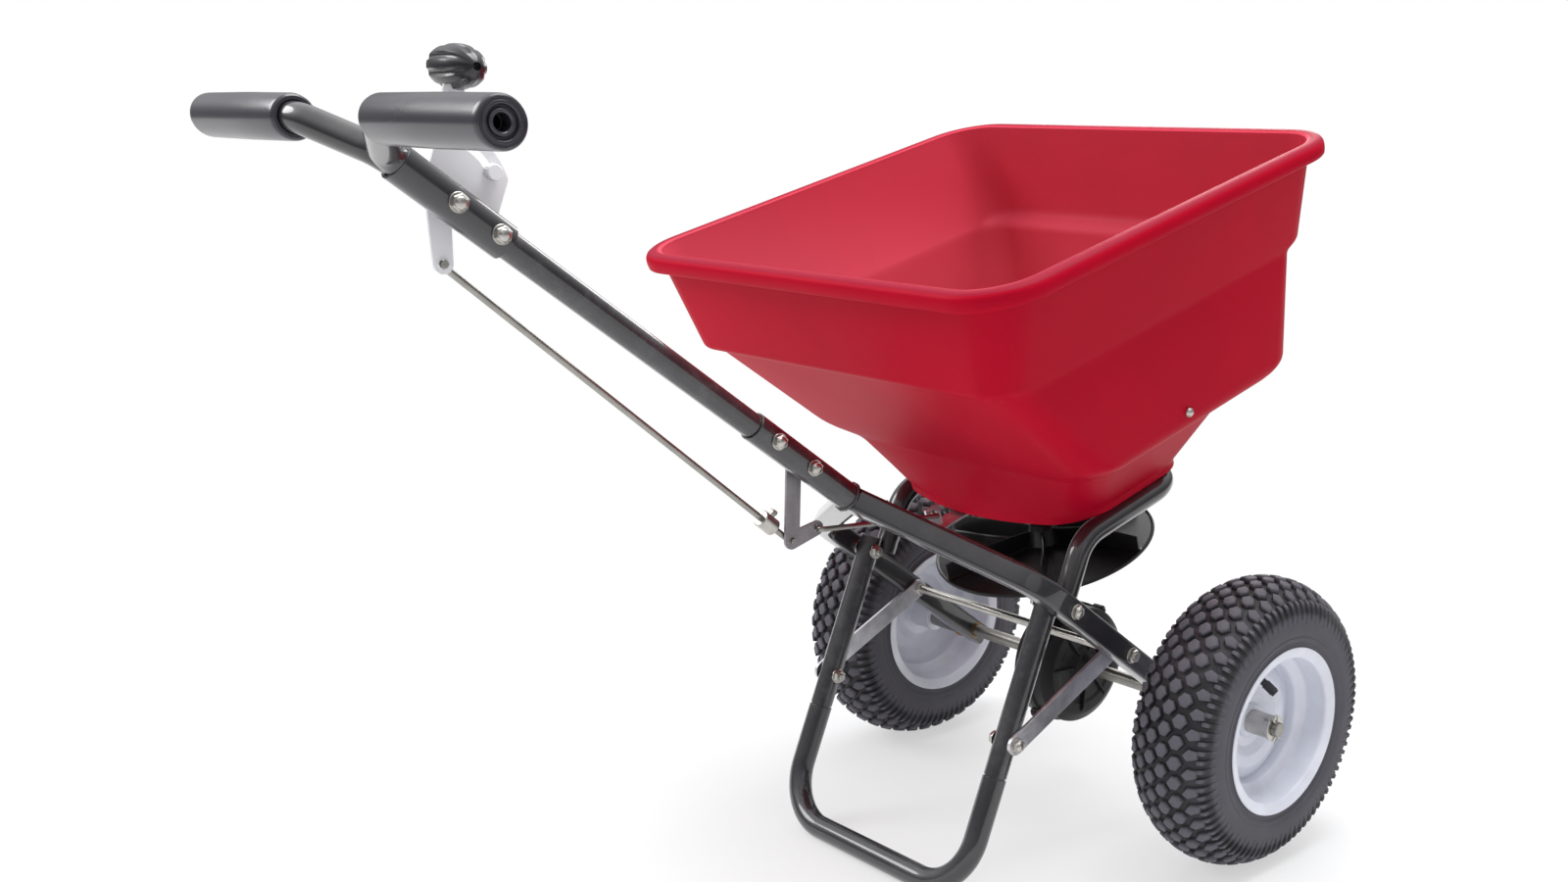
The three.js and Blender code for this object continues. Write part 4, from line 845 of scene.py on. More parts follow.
def finish(name):
    """The named finish, made once from the user's colours."""
    if name in FINISHES:
        return FINISHES[name]
    tone = bpy.context.scene.spreader_colours
    rolled = {"across": 900.0, "stretch": (1.0, 0.06, 0.06)}
    even = (1.0, 1.0, 1.0)
    make, label, colour, looks = {
        # the hopper gets painted light on its inner faces and painted shade on its lip
        "hopper": (plastic, "Hopper poly", tone.hopper,
                   dict(roughness=0.42, grain=420.0, bump=0.08, dust=0.0, drift=0.1, shine=0.04,
                        deepest=0.92, painted_inner_light=0.13)),
        "frame": (paint, "Frame powder coat", tone.frame, dict(roughness=0.34, coat=1.0)),
        "rim": (paint, "Rim enamel", tone.rim,
                dict(roughness=0.35, coat=0.5, orange_peel=420.0, bump=0.08, wear=0.2, dust=0.06)),
        "tyre": (rubber, "Tyre rubber", tone.tyre, {}),
        "valve": (plastic, "Valve rubber", shaded(tone.tyre, 0.35),
                  dict(roughness=0.5, grain=900.0, bump=0.2)),
        "grip": (plastic, "Grip plastic", tone.grip,
                 dict(roughness=0.3, grain=1500.0, bump=0.2, dust=0.04, coat=0.35)),
        "knob": (plastic, "Knob plastic", shaded(tone.grip, 0.4),
                 dict(roughness=0.3, grain=1500.0, bump=0.2, dust=0.03, coat=0.3)),
        "housing": (plastic, "Gearbox nylon", tone.housing,
                    dict(roughness=0.42, grain=1200.0, bump=0.2, dust=0.05, drift=0.15, shine=0.25)),
        "spinner": (plastic, "Spinner poly", tone.housing,
                    dict(roughness=0.3, grain=800.0, bump=0.1, dust=0.06, shine=0.35)),
        "white": (plastic, "Control acetal", tone.control,
                  dict(roughness=0.42, grain=1000.0, bump=0.1, dust=0.08, deepest=0.95,
                       dust_colour=(0.45, 0.42, 0.38))),
        "zinc": (metal, "Zinc plate", (0.62, 0.6, 0.56), dict(roughness=0.3)),
        "strap": (metal, "Strap steel", (0.80, 0.79, 0.83), dict(roughness=0.42, **rolled)),
        # the bell crank's finish is the strap steel made rougher and darker; its darker colour is painted
        # shade
        "crank": (metal, "Dull zinc sheet", (0.42, 0.40, 0.42), dict(roughness=0.55, **rolled)),
        "axle": (metal, "Drawn axle steel", (0.4, 0.39, 0.36),
                 dict(roughness=0.38, across=1600.0, stretch=(0.04, 1.0, 1.0))),
        "gear": (metal, "Greased gear steel", (0.24, 0.23, 0.21),
                 dict(roughness=0.28, across=900.0, stretch=even)),
        "bronze": (metal, "Sintered bronze", (0.32, 0.2, 0.09),
                   dict(roughness=0.45, across=2200.0, stretch=even)),
    }[name]
    FINISHES[name] = make(label, tuple(colour), **looks)
    return FINISHES[name]


# ---- hopper ---------------------------------------------------------------------------
def rim_ring(level, out=0.0):
    """Rounded rectangle of the hopper at one level; the rear edge may bulge."""
    z, half, rear, front, corner, bulge = level
    half, rear, front, corner = half + out, rear - out, front + out, max(corner + out, 1.0)
    arcs = []
    for cx, cy, start in ((half - corner, front - corner, 0), (corner - half, front - corner, 90),
                          (corner - half, rear + corner, 180), (half - corner, rear + corner, 270)):
        angles = [math.radians(start + 7.5 * k) for k in range(13)]
        arcs.append([(cx + corner * math.cos(a), cy + corner * math.sin(a)) for a in angles])
    ring = []
    for arc, following in pairs_round(arcs):
        (ax, ay), (bx, by) = arc[-1], following[0]
        edge = [(ax * (1 - t) + bx * t, ay * (1 - t) + by * t) for t in [k / 10 for k in range(1, 10)]]
        for x, y in arc + edge:
            if y < rear + corner:
                y -= bulge * (1 - min(abs(x) / half, 1) ** 2)
            ring.append(Vector((x, y, z)))
    return ring


def soften(levels, reach):
    """Rounds the turns between hopper levels, each level a tuple of the same numbers."""
    steps = 5
    out = [levels[0]]
    for i in range(1, len(levels) - 1):
        a, p, b = levels[i - 1], levels[i], levels[i + 1]
        lengths = [math.hypot(q[0] - p[0], q[1] - p[1], (q[2] - p[2]) * 0.5) for q in (a, b)]
        fa, fb = (min(0.48, reach[i] / max(length, 1e-6)) for length in lengths)
        start = [u + (v - u) * fa for u, v in zip(p, a)]
        end = [u + (v - u) * fb for u, v in zip(p, b)]
        for k in range(steps + 1):
            t = k / steps
            out.append(tuple(s * (1 - t) ** 2 + m * 2 * t * (1 - t) + e * t * t
                             for s, m, e in zip(start, p, end)))
    return out + [levels[-1]]


def build_hopper(size):
    """Moulded hopper: funnel, box, ledge, upper band, turned lip and a floor with its ports."""
    # each level: height, half width, rear, front, corner radius, bulge of the rear
    wall = [
        (BASE_Z, 150, -72, 108, 44, 34), (BASE_Z + 8, 150, -72, 108, 44, 34),
        (324, 197, -104, 146, 46, 8), (342, 232, -124, 222, 44, 0), (470, 240, -222, 236, 34, 0),
        (478, 243, -240, 254, 37, 0), (RIM_Z - 4, 276, -250, 259, 52, 0),
    ]
    mouth, base = wall[-1][1:], wall[0][1:]
    t = in_mm(size.hopper_wall)
    lip = in_mm(size.lip_width)
    drop = RIM_Z - in_mm(size.lip_drop)
    under = RIM_Z - t
    rings = [rim_ring(level) for level in soften(wall, [0, 3, 9, 14, 5, 5, 0])]
    lip_profile = [
        (0.6, under - 2.6), (2.4, under - 0.8), (lip - t - 2.5, under), (lip - t, under - 2.5),
        (lip - t, drop + 1), (lip - t + 1, drop), (lip - 1, drop), (lip, drop + 1), (lip + 0.6, drop + 5),
        (lip + 0.6, RIM_Z - 9), (lip, RIM_Z - 5), (lip - 2, RIM_Z - 2), (lip - 5, RIM_Z - 0.4),
        (lip - 8, RIM_Z), (3 - t, RIM_Z), (0.5 - t, RIM_Z - 1.5), (-t, RIM_Z - 5)]
    rings += [rim_ring((z, *mouth), out) for out, z in lip_profile]
    inner = soften([(z + (t if z < 460 else 0), *rest) for z, *rest in wall], [0, 3, 9, 18, 9, 9, 0])
    rings += [rim_ring(level, -t) for level in reversed(inner[8:-1])]
    rings += [rim_ring((BASE_Z + t + rise, *base), -t - inset) for rise, inset in ((6, 0), (1.5, 2), (0, 6))]
    bm = bmesh.new()
    rows = skin(bm, rings, cap=False)
    # the shaft hole and the two ports go through the floor
    holes = ((0, 0, SHAFT_HOLE_R), (-PORT_X, PORT_Y, PORT_R), (PORT_X, PORT_Y, PORT_R))
    bores = []
    for row, z in ((rows[0], BASE_Z), (rows[-1], BASE_Z + t)):
        loops = [[bm.verts.new((x + radius * u, y + radius * v, z)) for u, v in circle(1.0, 28)]
                 for x, y, radius in holes]
        fill(bm, [row, *loops])
        bores.append(loops)
    for low, high in zip(*bores):
        band(bm, low, high)
    finish_piece("hopper_shell", bm, "hopper", "hopper", sharp=50)


def build_rivet(side, name):
    """Round-headed rivet low on a side wall of the hopper."""
    out = Vector((1, 0, -0.0625)).normalized()
    base = Vector((233, 24, 359))
    bm = bmesh.new()
    discs(bm, out, [(base + out * (5.2 * math.sin(t)), 5.6 * math.cos(t))
                    for t in (-0.5, 0, 0.3, 0.6, 0.9, 1.2, 1.45)], 20)
    finish_piece(f"hopper_rivet_{name}", bm, "zinc", "=hopper", side=side)


# ---- push frame -----------------------------------------------------------------------
def build_rail(side, name):
    """Square side rail, bent in to the foot of the neck and cut along the middle."""
    corners = [on_handle(-20, RAIL_X), on_handle(300, RAIL_X), on_handle(435, -12)]
    rail = tube(rounded(corners, [60], 14), square(RAIL_SIZE, 4.5), square(RAIL_SIZE - 4, 2.5), OFF_HANDLE)
    trim_at_middle(rail)
    trim(rail, on_handle(NECK_FOOT - GAP), UP_HANDLE)
    finish_piece(f"rail_{name}", rail, "frame", f"side_rail_{name}", 0.5, side=side)


def build_push_frame():
    """Rails, neck and its weld, lower tube, support ring, sleeve and handle bars."""
    both_sides(build_rail)
    neck = round_tube([on_handle(NECK_FOOT), on_handle(NECK_TOP)], [], NECK_R, 1.8, count=36)
    finish_piece("neck", neck, "frame", "frame_neck", 0.5)
    across = UP_HANDLE.orthogonal().normalized()
    bm = bmesh.new()
    weld_bead(bm, on_handle(NECK_FOOT + 0.5), (UP_HANDLE, across, UP_HANDLE.cross(across)), NECK_R,
              [2.1 + 0.45 * math.sin(k * 2.6) for k in range(72)], 10)
    finish_piece("neck_weld", bm, "frame", "=frame_neck", sharp=60)
    lower = round_tube([on_handle(LOWER_FOOT), on_handle(LOWER_TOP)], [], TUBE_R, count=36)
    finish_piece("lower_tube", lower, "frame", "handle_lower_tube", 0.4)
    half = [LEG_KNEE - UP_LEG * 75, LEG_KNEE, Vector((RING_X, 90, RING_Z))]
    corners = half + [at_x(p, -p.x) for p in reversed(half)]
    ring = round_tube(corners, [45, 48, 48, 45], TUBE_R, steps=14, count=32)
    finish_piece("support_ring", ring, "frame", "hopper_support_ring", 0.4)
    build_sleeve()
    both_sides(build_bar)


def build_sleeve():
    """Sleeve over the top of the lower tube, slit along its upper side."""
    slit = 0.16
    angles = [slit + (2 * math.pi - 2 * slit) * k / 40 for k in range(41)]
    section = [(SLEEVE_R * math.cos(a), SLEEVE_R * math.sin(a)) for a in angles]
    bore = TUBE_R + 0.35
    section += [(bore * math.cos(a), bore * math.sin(a)) for a in reversed(angles)]
    places = (SLEEVE_FOOT, SLEEVE_FOOT + 2, SLEEVE_TOP - 2, SLEEVE_TOP)
    bm = bmesh.new()
    skin(bm, along([(on_handle(s), UP_HANDLE) for s in places], section, OFF_HANDLE))
    finish_piece("neck_sleeve", bm, "frame", "handle_neck_sleeve", 0.5, sharp=40)


def build_bar(side, name):
    """Handle bar: out of the sleeve, round a tight bend, and level to its grip."""
    foot = SLEEVE_TOP + GAP
    corners = [on_handle(foot, 3.4), on_handle(997, 5), on_handle(GRIP_LINE, 72),
               on_handle(GRIP_LINE, GRIP_END - 10)]
    bar = round_tube(corners, [22, 44], TUBE_R, steps=16, count=32)
    trim_at_middle(bar)
    trim(bar, on_handle(foot), -UP_HANDLE)
    finish_piece(f"bar_{name}", bar, "frame", f"handle_bar_{name}", 0.4, side=side)


def build_grip(side, name, size):
    """Plain moulded grip with a ringed end."""
    r = in_mm(size.grip_radius)
    # rings on the end face: depth from it, and share of the radius
    rings = [(-0.5, 0.45), (-1.5, 0.5), (-3.5, 0.5), (-3.5, 0.6), (-1.5, 0.6), (0, 0.65), (0, 0.75),
             (-1.2, 0.79), (-1.2, 0.84), (0, 0.88), (-0.8, 0.95), (-3, 0.995)]
    profile = [(-14, 3), (-14, 6), (-1.5, 6), (-0.5, 7)]
    profile += [(x, share * r) for x, share in rings]
    profile += [(-6, r), (-GRIP_LENGTH / 2, r + 0.4), (5 - GRIP_LENGTH, r), (1.5 - GRIP_LENGTH, r - 0.8),
                (-GRIP_LENGTH, r - 2.4), (-GRIP_LENGTH, TUBE_R + 0.4), (-10, TUBE_R + 0.4), (-10, 12),
                (-14, 12)]
    moulding = turned(profile, on_handle(GRIP_LINE, GRIP_END), count=72)
    finish_piece(f"grip_{name}_moulding", moulding, "grip", f"grip_{name}", 0.5, sharp=28, side=side)


# ---- stand ----------------------------------------------------------------------------
def build_leg(side, name):
    """Leg with the spigot that goes into the foot loop."""
    joint = leg_at_height(FOOT_JOINT)
    leg = round_tube([leg_at_rail() + UP_LEG * 16, joint], [], TUBE_R, count=32)
    merge(leg, round_tube([joint + UP_LEG * 10, joint - UP_LEG * 30], [], TUBE_R - 1.3, 2))
    finish_piece(f"leg_{name}", leg, "frame", f"stand_leg_{name}", 0.4, side=side)


def build_brace(side, name):
    """Flat brace from the leg to the cross rod."""
    low, high = leg_at(BRACE_BOLT_Z), on_handle(CROSS_ROD_AT)
    strap = plate(strap_outline(low, high, 22), BRACE_X, STRAP_T, [hole(low, PIVOT_HOLE_R), hole(high, 5.3)])
    finish_piece(f"brace_{name}", strap, "strap", f"stand_brace_{name}", 0.7, side=side)


def build_stand():
    """Legs, the foot loop between them, and the braces."""
    both_sides(build_leg)
    start = leg_at_height(FOOT_JOINT) - UP_LEG * JOINT_GAP
    foot = leg_at_height(FOOT_R)
    loop = round_tube([start, foot, at_x(foot, -foot.x), at_x(start, -start.x)], [62, 62], FOOT_R,
                      steps=20, count=36)
    finish_piece("foot_loop", loop, "frame", "stand_foot_loop", 0.4)
    both_sides(build_brace)


# ---- wheels ---------------------------------------------------------------------------
def crown_at(x, base):
    """Radius of the tread between its studs, at x from the middle."""
    return base - CROWN_DROP * (abs(x) / TREAD_HALF) ** CROWN_POWER


def tyre_profile(base):
    """Outside and lining of the tyre, as (x, radius)."""
    half = WHEEL_HALF
    outside = [
        (half - 8, 85.5), (half - 4.5, 88), (half - 3, 92), (half - 2.4, 97), (half - 2.6, 101),
        (half - 1.4, 103), (half - 0.6, 106), (half - 1.2, 108), (half, 112), (half, 118), (half - 0.4, 125),
        (half - 1.6, 131), (half - 3.6, 136.5), (half - 5.6, 140)]
    outside += [(x, crown_at(x, base)) for x in (45, 41, 36, 30, 22, 12, 0)]
    lining = [(half - 14, 85.5), (half - 6, 112), (half - 8, 126), (35, 142), (0, base - 8)]
    return (outside + [(-x, r) for x, r in reversed(outside[:-1])]
            + [(-x, r) for x, r in lining[:-1]] + lining[::-1])


def stud_outline(x, s, spacing, pitch, edge):
    """Stud about (x, arc length): six sides, or five on the outermost row (edge 1 or -1)."""
    a, b = spacing * 0.54, pitch * 0.33
    if not edge:
        return [(x - a, s), (x - a * 0.42, s - b), (x + a * 0.34, s - b * 1.08), (x + a, s),
                (x + a * 0.42, s + b), (x - a * 0.34, s + b * 1.08)]
    points = [(x - edge * a * 0.95, s - 0.5), (x - edge * a * 0.3, s - b * 0.95),
              (x + edge * a * 0.75, s - b * 0.62), (x + edge * a * 0.75, s + b * 0.62),
              (x - edge * a * 0.3, s + b * 0.95)]
    return points if edge > 0 else points[::-1]


def add_stud(bm, points, base, height):
    """Stud with sloping sides and rounded top edges on an outline of (x, arc length)."""
    mid = Vector((sum(x for x, s in points) / len(points), sum(s for x, s in points) / len(points)))
    rings = []
    for inset, lift in ((-0.5, -2.0), (0, 0.3), (0.77, height - 1.1), (1.4, height - 0.3), (2.1, height)):
        ring = []
        for point in points:
            d = Vector(point) - mid
            q = mid + d * max(0.05, 1 - inset / max(d.length, 0.1))
            radius = crown_at(min(abs(q.x), TREAD_HALF + 1), base) + lift
            ring.append(WHEEL_CENTRE + about_axle(q.x, radius, q.y / TYRE_R))
        rings.append(ring)
    skin(bm, rings)


def add_shoulder_bar(bm, edge, s, low, width, base):
    """Radial bar on the shoulder, from the tread edge down the side wall to the radius low."""
    half = WHEEL_HALF
    rings = []
    # place across and radius, height of the bar, and the way it stands out
    for x, radius, lift, nx, nr in (
            (42.0, crown_at(42, base) + 1, 2.0, 0.2, 1), (45.5, crown_at(45, base), 3.4, 0.6, 0.8),
            (half - 3.4, 135.5, 2.6, 0.9, 0.4), (half - 0.6, low + 6, 1.5, 1, 0.1),
            (half - 0.4, low, 0.0, 1, 0)):
        ring = []
        for u, h in ((-0.5, -2.0), (-0.46, 0.4 * lift), (-0.3, lift),
                     (0.3, lift), (0.46, 0.4 * lift), (0.5, -2.0)):
            bar_x = edge * min(x + nx * h, half)
            ring.append(WHEEL_CENTRE + about_axle(bar_x, radius + nr * h, (s + u * width) / TYRE_R))
        rings.append(ring)
    skin(bm, rings)


def build_tyre(side, name, size):
    """Tyre with rows of studs and bars on its shoulders."""
    height = in_mm(size.stud_height)
    base = TYRE_R - height
    bm = turned(tyre_profile(base), WHEEL_CENTRE, count=144)
    spacing = 2 * TREAD_HALF / STUD_ROWS
    pitch = 2 * math.pi * TYRE_R / size.stud_count
    for row in range(STUD_ROWS):
        x = (row - (STUD_ROWS - 1) / 2) * spacing
        edge = {0: -1, STUD_ROWS - 1: 1}.get(row, 0)
        for k in range(size.stud_count):
            s = (k + (0.5 if row % 2 else 0.0)) * pitch
            add_stud(bm, stud_outline(x, s, spacing, pitch, edge), base, height)
    for edge in (1, -1):
        for k in range(size.stud_count * 2):
            low = 117.0 if k % 2 else 123.0
            add_shoulder_bar(bm, edge, (k + 0.25) * pitch / 2, low, pitch * 0.3, base)
    finish_piece(f"stud_tyre_{name}", bm, "tyre", f"tyre_{name}", sharp=30, side=side)


def build_rim(side, name):
    """Rim with its dished disc, and the sleeve in its hub."""
    half, t = WHEEL_HALF, 2.5
    bead, well, hub = 85.0, 72.0, 18.0
    seat, floor = bead - t, well - t
    profile = [
        (half, 95), (half - 1.6, 95.6), (half - 3, 94.4), (half - 6, bead), (20, bead), (14, well),
        (-14, well), (-20, bead), (6 - half, bead), (3 - half, 94.4), (1.6 - half, 95.6), (-half, 95),
        (4 - half, seat), (-21, seat), (-15, floor), (-6, floor), (0, 66), (6, 52), (4, 40), (-2, 30),
        (-2, hub), (-HUB_HALF, hub), (-HUB_HALF, HUB_BORE_R), (5, HUB_BORE_R), (5, hub), (2, hub), (2, 30),
        (8, 40), (10, 52), (4, 66), (-2, floor), (15, floor), (21, seat), (half - 4, seat)]
    radii = [1, 1, 1, 5, 4, 6, 6, 4, 5, 1, 1, 1,
             4, 4, 5, 3, 8, 8, 8, 3, 3, 1, 0.6, 0.6, 1, 3, 3, 8, 8, 8, 3, 5, 4, 4]
    bm = turned(fillet_profile(profile, radii), WHEEL_CENTRE, count=128)
    # the welds where the disc meets the barrel and the hub, on the outer side
    for radius, x, size in ((floor - 1, 1.2, 1.6), (hub + 1, 3.0, 1.5)):
        weld_bead(bm, Vector((WHEEL_X + x, 0, 0)), (RIGHTWARD, UPWARD, FORWARD), radius,
                  [size * (1 + 0.16 * math.sin(k * 2.2)) for k in range(160)], 8)
    finish_piece(f"rim_{name}", bm, "rim", f"wheel_rim_{name}", sharp=40, side=side)
    sleeve = fillet_profile([(5, HUB_BORE_R), (HUB_HALF, HUB_BORE_R), (HUB_HALF, 13.5), (5, 13.5)], 0.6, 2)
    finish_piece(f"hub_sleeve_{name}", turned(sleeve, WHEEL_CENTRE, count=56), "zinc", f"=wheel_rim_{name}",
                 sharp=40, side=side)


def build_valve(side, name):
    """Valve stem in its rubber foot, bent down towards its cap."""
    def on_stem(x, drop=0.0):
        return Vector((WHEEL_X + x, 0, 61.0 - drop))
    bm = bmesh.new()
    stations = bent_rod(bm, [on_stem(-12), on_stem(27), on_stem(43, 12)], [16], 4.2)
    discs(bm, RIGHTWARD, [(on_stem(6.4), 6.4), (on_stem(11), 6.4), (on_stem(14), 4.2)], 24)
    end, tangent = stations[-1]
    for start, stop, radius in ((-14, -1, 5.3), (-1, 1.2, 4.6)):
        discs(bm, tangent, [(end + tangent * d, radius) for d in (start, stop - 0.6, stop)], 18)
    finish_piece(f"valve_{name}", bm, "valve", f"valve_stem_{name}", sharp=35, side=side)


def ring_profile(start, stop, bore, radius):
    """Profile of a plain ring, as (place along the axis, radius)."""
    return [(start, bore), (start, radius), (stop, radius), (stop, bore)]


def build_bearings(side, name):
    """Bushes, spacer and washer of one side, turned to fit the axle."""
    inner, flange = RAIL_X - RAIL_SIZE / 2 - 1, RAIL_OUTSIDE + GAP
    flange_end = flange + 2.5
    hub_inner, hub_outer = WHEEL_X - HUB_HALF, WHEEL_X + HUB_HALF
    axle_bush = [(inner, BUSH_BORE_R), (inner, BUSH_R), (flange, BUSH_R), (flange, 14), (flange_end, 14),
                 (flange_end, BUSH_BORE_R)]
    washer = hub_outer + GAP
    for node, tone, profile in (
            ("axle_bush", "bronze", axle_bush),
            ("axle_spacer", "axle", ring_profile(flange_end + GAP, hub_inner - GAP, 8.3, 11.5)),
            ("hub_washer", "zinc", ring_profile(washer, washer + 2.5, 8.4, 15)),
            ("hub_bush", "bronze", ring_profile(hub_inner, hub_outer, BUSH_BORE_R, BUSH_R))):
        piece = turned(fillet_profile(profile, 0.5, 2), count=40)
        finish_piece(f"{node}_{name}_turned", piece, tone, f"{node}_{name}", side=side)


def build_cotter(side, name):
    """Split pin: an eye above the axle, two legs below it bent apart."""
    bm = bmesh.new()
    for lean in (-1, 1):
        x = COTTER_X + 0.75 * lean
        bent_rod(bm, [Vector((x, 0, 10)), Vector((x, 0, -11)), Vector((x, 7 * lean, -16))], [3], 0.95, 5, 12)
    eye = []
    for k in range(25):
        a = math.radians(-62 + 304 * k / 24)
        eye.append((Vector((COTTER_X, 3.6 * math.cos(a), 13 + 3.9 * math.sin(a))),
                    Vector((0, -math.sin(a), math.cos(a)))))
    skin(bm, along(eye, circle(1.2, 12)))
    finish_piece(f"split_pin_{name}", bm, "zinc", f"cotter_pin_{name}", sharp=50, side=side)


def build_running_gear():
    """Axle, and the turned parts and split pins at both its ends."""
    bm = bmesh.new()
    cylinder(bm, Vector((-AXLE_HALF, 0, 0)), Vector((AXLE_HALF, 0, 0)), AXLE_R, 48, 1.0)
    finish_piece("axle_bar", bm, "axle", "axle")
    for side, name in SIDES:
        build_bearings(side, name)
        build_cotter(side, name)


# ---- drive ----------------------------------------------------------------------------
def build_gearbox(side, name):
    """Half of the gearbox housing: dished and ribbed, with screw bosses and half the shaft post."""
    r, half, t = 72.0, 30.0, 3.0
    profile = [
        (GAP / 2, r + 3), (GAP / 2, r - t), (half - 8, r - t), (half - t, r - t - 9), (half - t, 8.6),
        (half + 12, 8.6), (half + 12, 15), (half + 1, 19), (half, 26), (half - 1.2, 30), (half - 1.2, 44),
        (half, 48), (half, r - 12), (half - 7, r), (5, r), (4.4, r + 3)]
    radii = [0.4, 0.4, 4, 4, 0.5, 0.5, 1.5, 3, 2, 2, 2, 2, 5, 5, 0.8, 0.8]
    bm = turned(fillet_profile(profile, radii, 3), count=96)
    post = bmesh.new()
    discs(post, UPWARD, [(at_z(r - 4), 17), (at_z(r + 24), 17), (at_z(r + 26), 16)], 40)
    trim_at_middle(post)
    merge(bm, post)
    screw_circle = 76
    for angle in (60, 120, 180, 240, 300):
        seam, face, head = (about_axle(x, screw_circle, math.radians(angle)) for x in (GAP / 2, 7, 10))
        cylinder(bm, seam, face, 6.5, 28, 0.6)
        hexagon(bm, face, head, 7, 0.8)
    for k in range(8):
        a = math.radians(22.5 + 45 * k)
        out = Vector((0, math.sin(a), math.cos(a)))
        across = Vector((0, math.cos(a), -math.sin(a)))
        rings = []
        for d, lift in ((20, 0.2), (24, 3.2), (54, 3.2), (58, 0.2)):
            rings.append([out * d + across * w + Vector((x, 0, 0)) for w, x in (
                (-1.4, half - 2), (-1.0, half + lift), (1.0, half + lift), (1.4, half - 2))])
        skin(bm, rings)
    finish_piece(f"gear_housing_{name}", bm, "housing", f"gearbox_shell_{name}", 0.3, side=side)


def build_spinner(size):
    """Spinner: a dished disc with a rolled edge and six bent vanes."""
    r, z = 132.0, 165.0
    vane = in_mm(size.vane_height)
    profile = [(z, 6.3), (z, r - 3), (z + 0.6, r - 0.6), (z + 2.6, r - 0.2), (z + 4.5, r - 1.2),
               (z + 4.2, r - 2.6), (z + 3, r - 4), (z + 3, 30), (z + 5, 22), (z + 22, 17), (z + 28, 14),
               (z + 30, 11), (z + 30, 6.3)]
    bm = turned(profile, axis="Z", count=112)
    vanes, steps = 6, 14
    for k in range(vanes):
        turn = 2 * math.pi * (k + 0.2) / vanes
        rings = []
        for i in range(steps + 1):
            d = 18 + (r - 21) * i / steps
            swell = math.sin(math.pi * i / steps)
            top = z + 3 + vane * (0.82 + 0.18 * swell)
            ring = []
            for across, h in ((-1.6, z + 1), (-1.3, top - 0.8), (-0.6, top), (0.6, top), (1.3, top - 0.8),
                              (1.6, z + 5.5), (3.2, z + 4), (9, z + 3.6), (9, z + 1)):
                w = across + 3.0 * swell ** 2
                ring.append(Vector((d * math.cos(turn) - w * math.sin(turn),
                                    d * math.sin(turn) + w * math.cos(turn), h)))
            rings.append(ring)
        skin(bm, rings)
    finish_piece("spinner_disc", bm, "spinner", "spinner", 0.3, sharp=35)


def build_drive(size):
    """Gearbox, gears, vertical shaft, spinner, agitator and the bush in the hopper floor."""
    both_sides(build_gearbox)
    refinish("ring_gear", "gear", 0.15)
    refinish("pinion", "gear", 0.15)
    bm = bmesh.new()
    cylinder(bm, at_z(SHAFT_FOOT), at_z(SHAFT_TOP), SHAFT_R, 40, 0.8)
    finish_piece("shaft_bar", bm, "zinc", "spinner_shaft")
    build_spinner(size)
    bm = bmesh.new()
    cylinder(bm, at_z(267), at_z(292), 10, 40, 1.2)
    bent_rod(bm, [Vector((x, 0, z)) for x, z in ((-58, 306), (-34, 282), (34, 282), (58, 306))], [10, 10], 3)
    finish_piece("agitator_wire", bm, "zinc", "agitator", 0.2)
    b = BASE_Z
    bush = [(b - 3.3, 6.5), (b - 3.3, 9), (b + 4.3, 9), (b + 4.3, 15), (b + 10, 13), (b + 10, 6.5)]
    finish_piece("shaft_bush", turned(fillet_profile(bush, 0.6, 2), axis="Z"), "housing", "floor_bush")


# ---- shut-off and controls ------------------------------------------------------------
def build_shutter():
    """The shutter and its guide keep their CAD shapes."""
    refinish("shutter_guide", "strap", 0.5)
    refinish("shutter_plate", "strap", 0.5)


def build_lever():
    """Bent lever with the holes for its pivot and for the pull rod."""
    outline = knee_outline(KNOB_AT, LEVER_PIVOT, LEVER_ROD_PIN, (17, 20, 17))
    holes = [hole(LEVER_PIVOT, PIVOT_HOLE_R), hole(LEVER_ROD_PIN, ROD_R + 0.6)]
    finish_piece("lever_arm", plate(outline, LEVER_INSIDE, LEVER_T, holes), "white", "control_lever", 0.5)


def build_knob(size):
    """Fluted oval knob, its long axis across the machine, a recess in its end."""
    half, r = in_mm(size.knob_half), 18.0
    flutes, flute_depth = 8, 0.16
    rings = []
    for i in range(33):
        share = -0.97 + 1.94 * i / 32
        radius = r * math.sqrt(max(1 - abs(share) ** 2.3, 0.02))
        ring = []
        for a in turns(96):
            depth = flute_depth * (1 - share * share) * max(0.0, math.cos(a * flutes)) ** 0.7
            ring.append(KNOB_AT + about_axle(share * half, radius * (1 - depth), a))
        rings.append(ring)
    end = rings[-1]
    for share, shrink in ((0.99, 0.7), (0.9, 0.62), (0.86, 0.3)):
        middle = KNOB_AT + Vector((share * half, 0, 0))
        rings.append([middle + at_x(p - KNOB_AT, 0) * shrink for p in end])
    bm = bmesh.new()
    skin(bm, rings)
    finish_piece("fluted_knob", bm, "knob", "lever_knob", sharp=40)


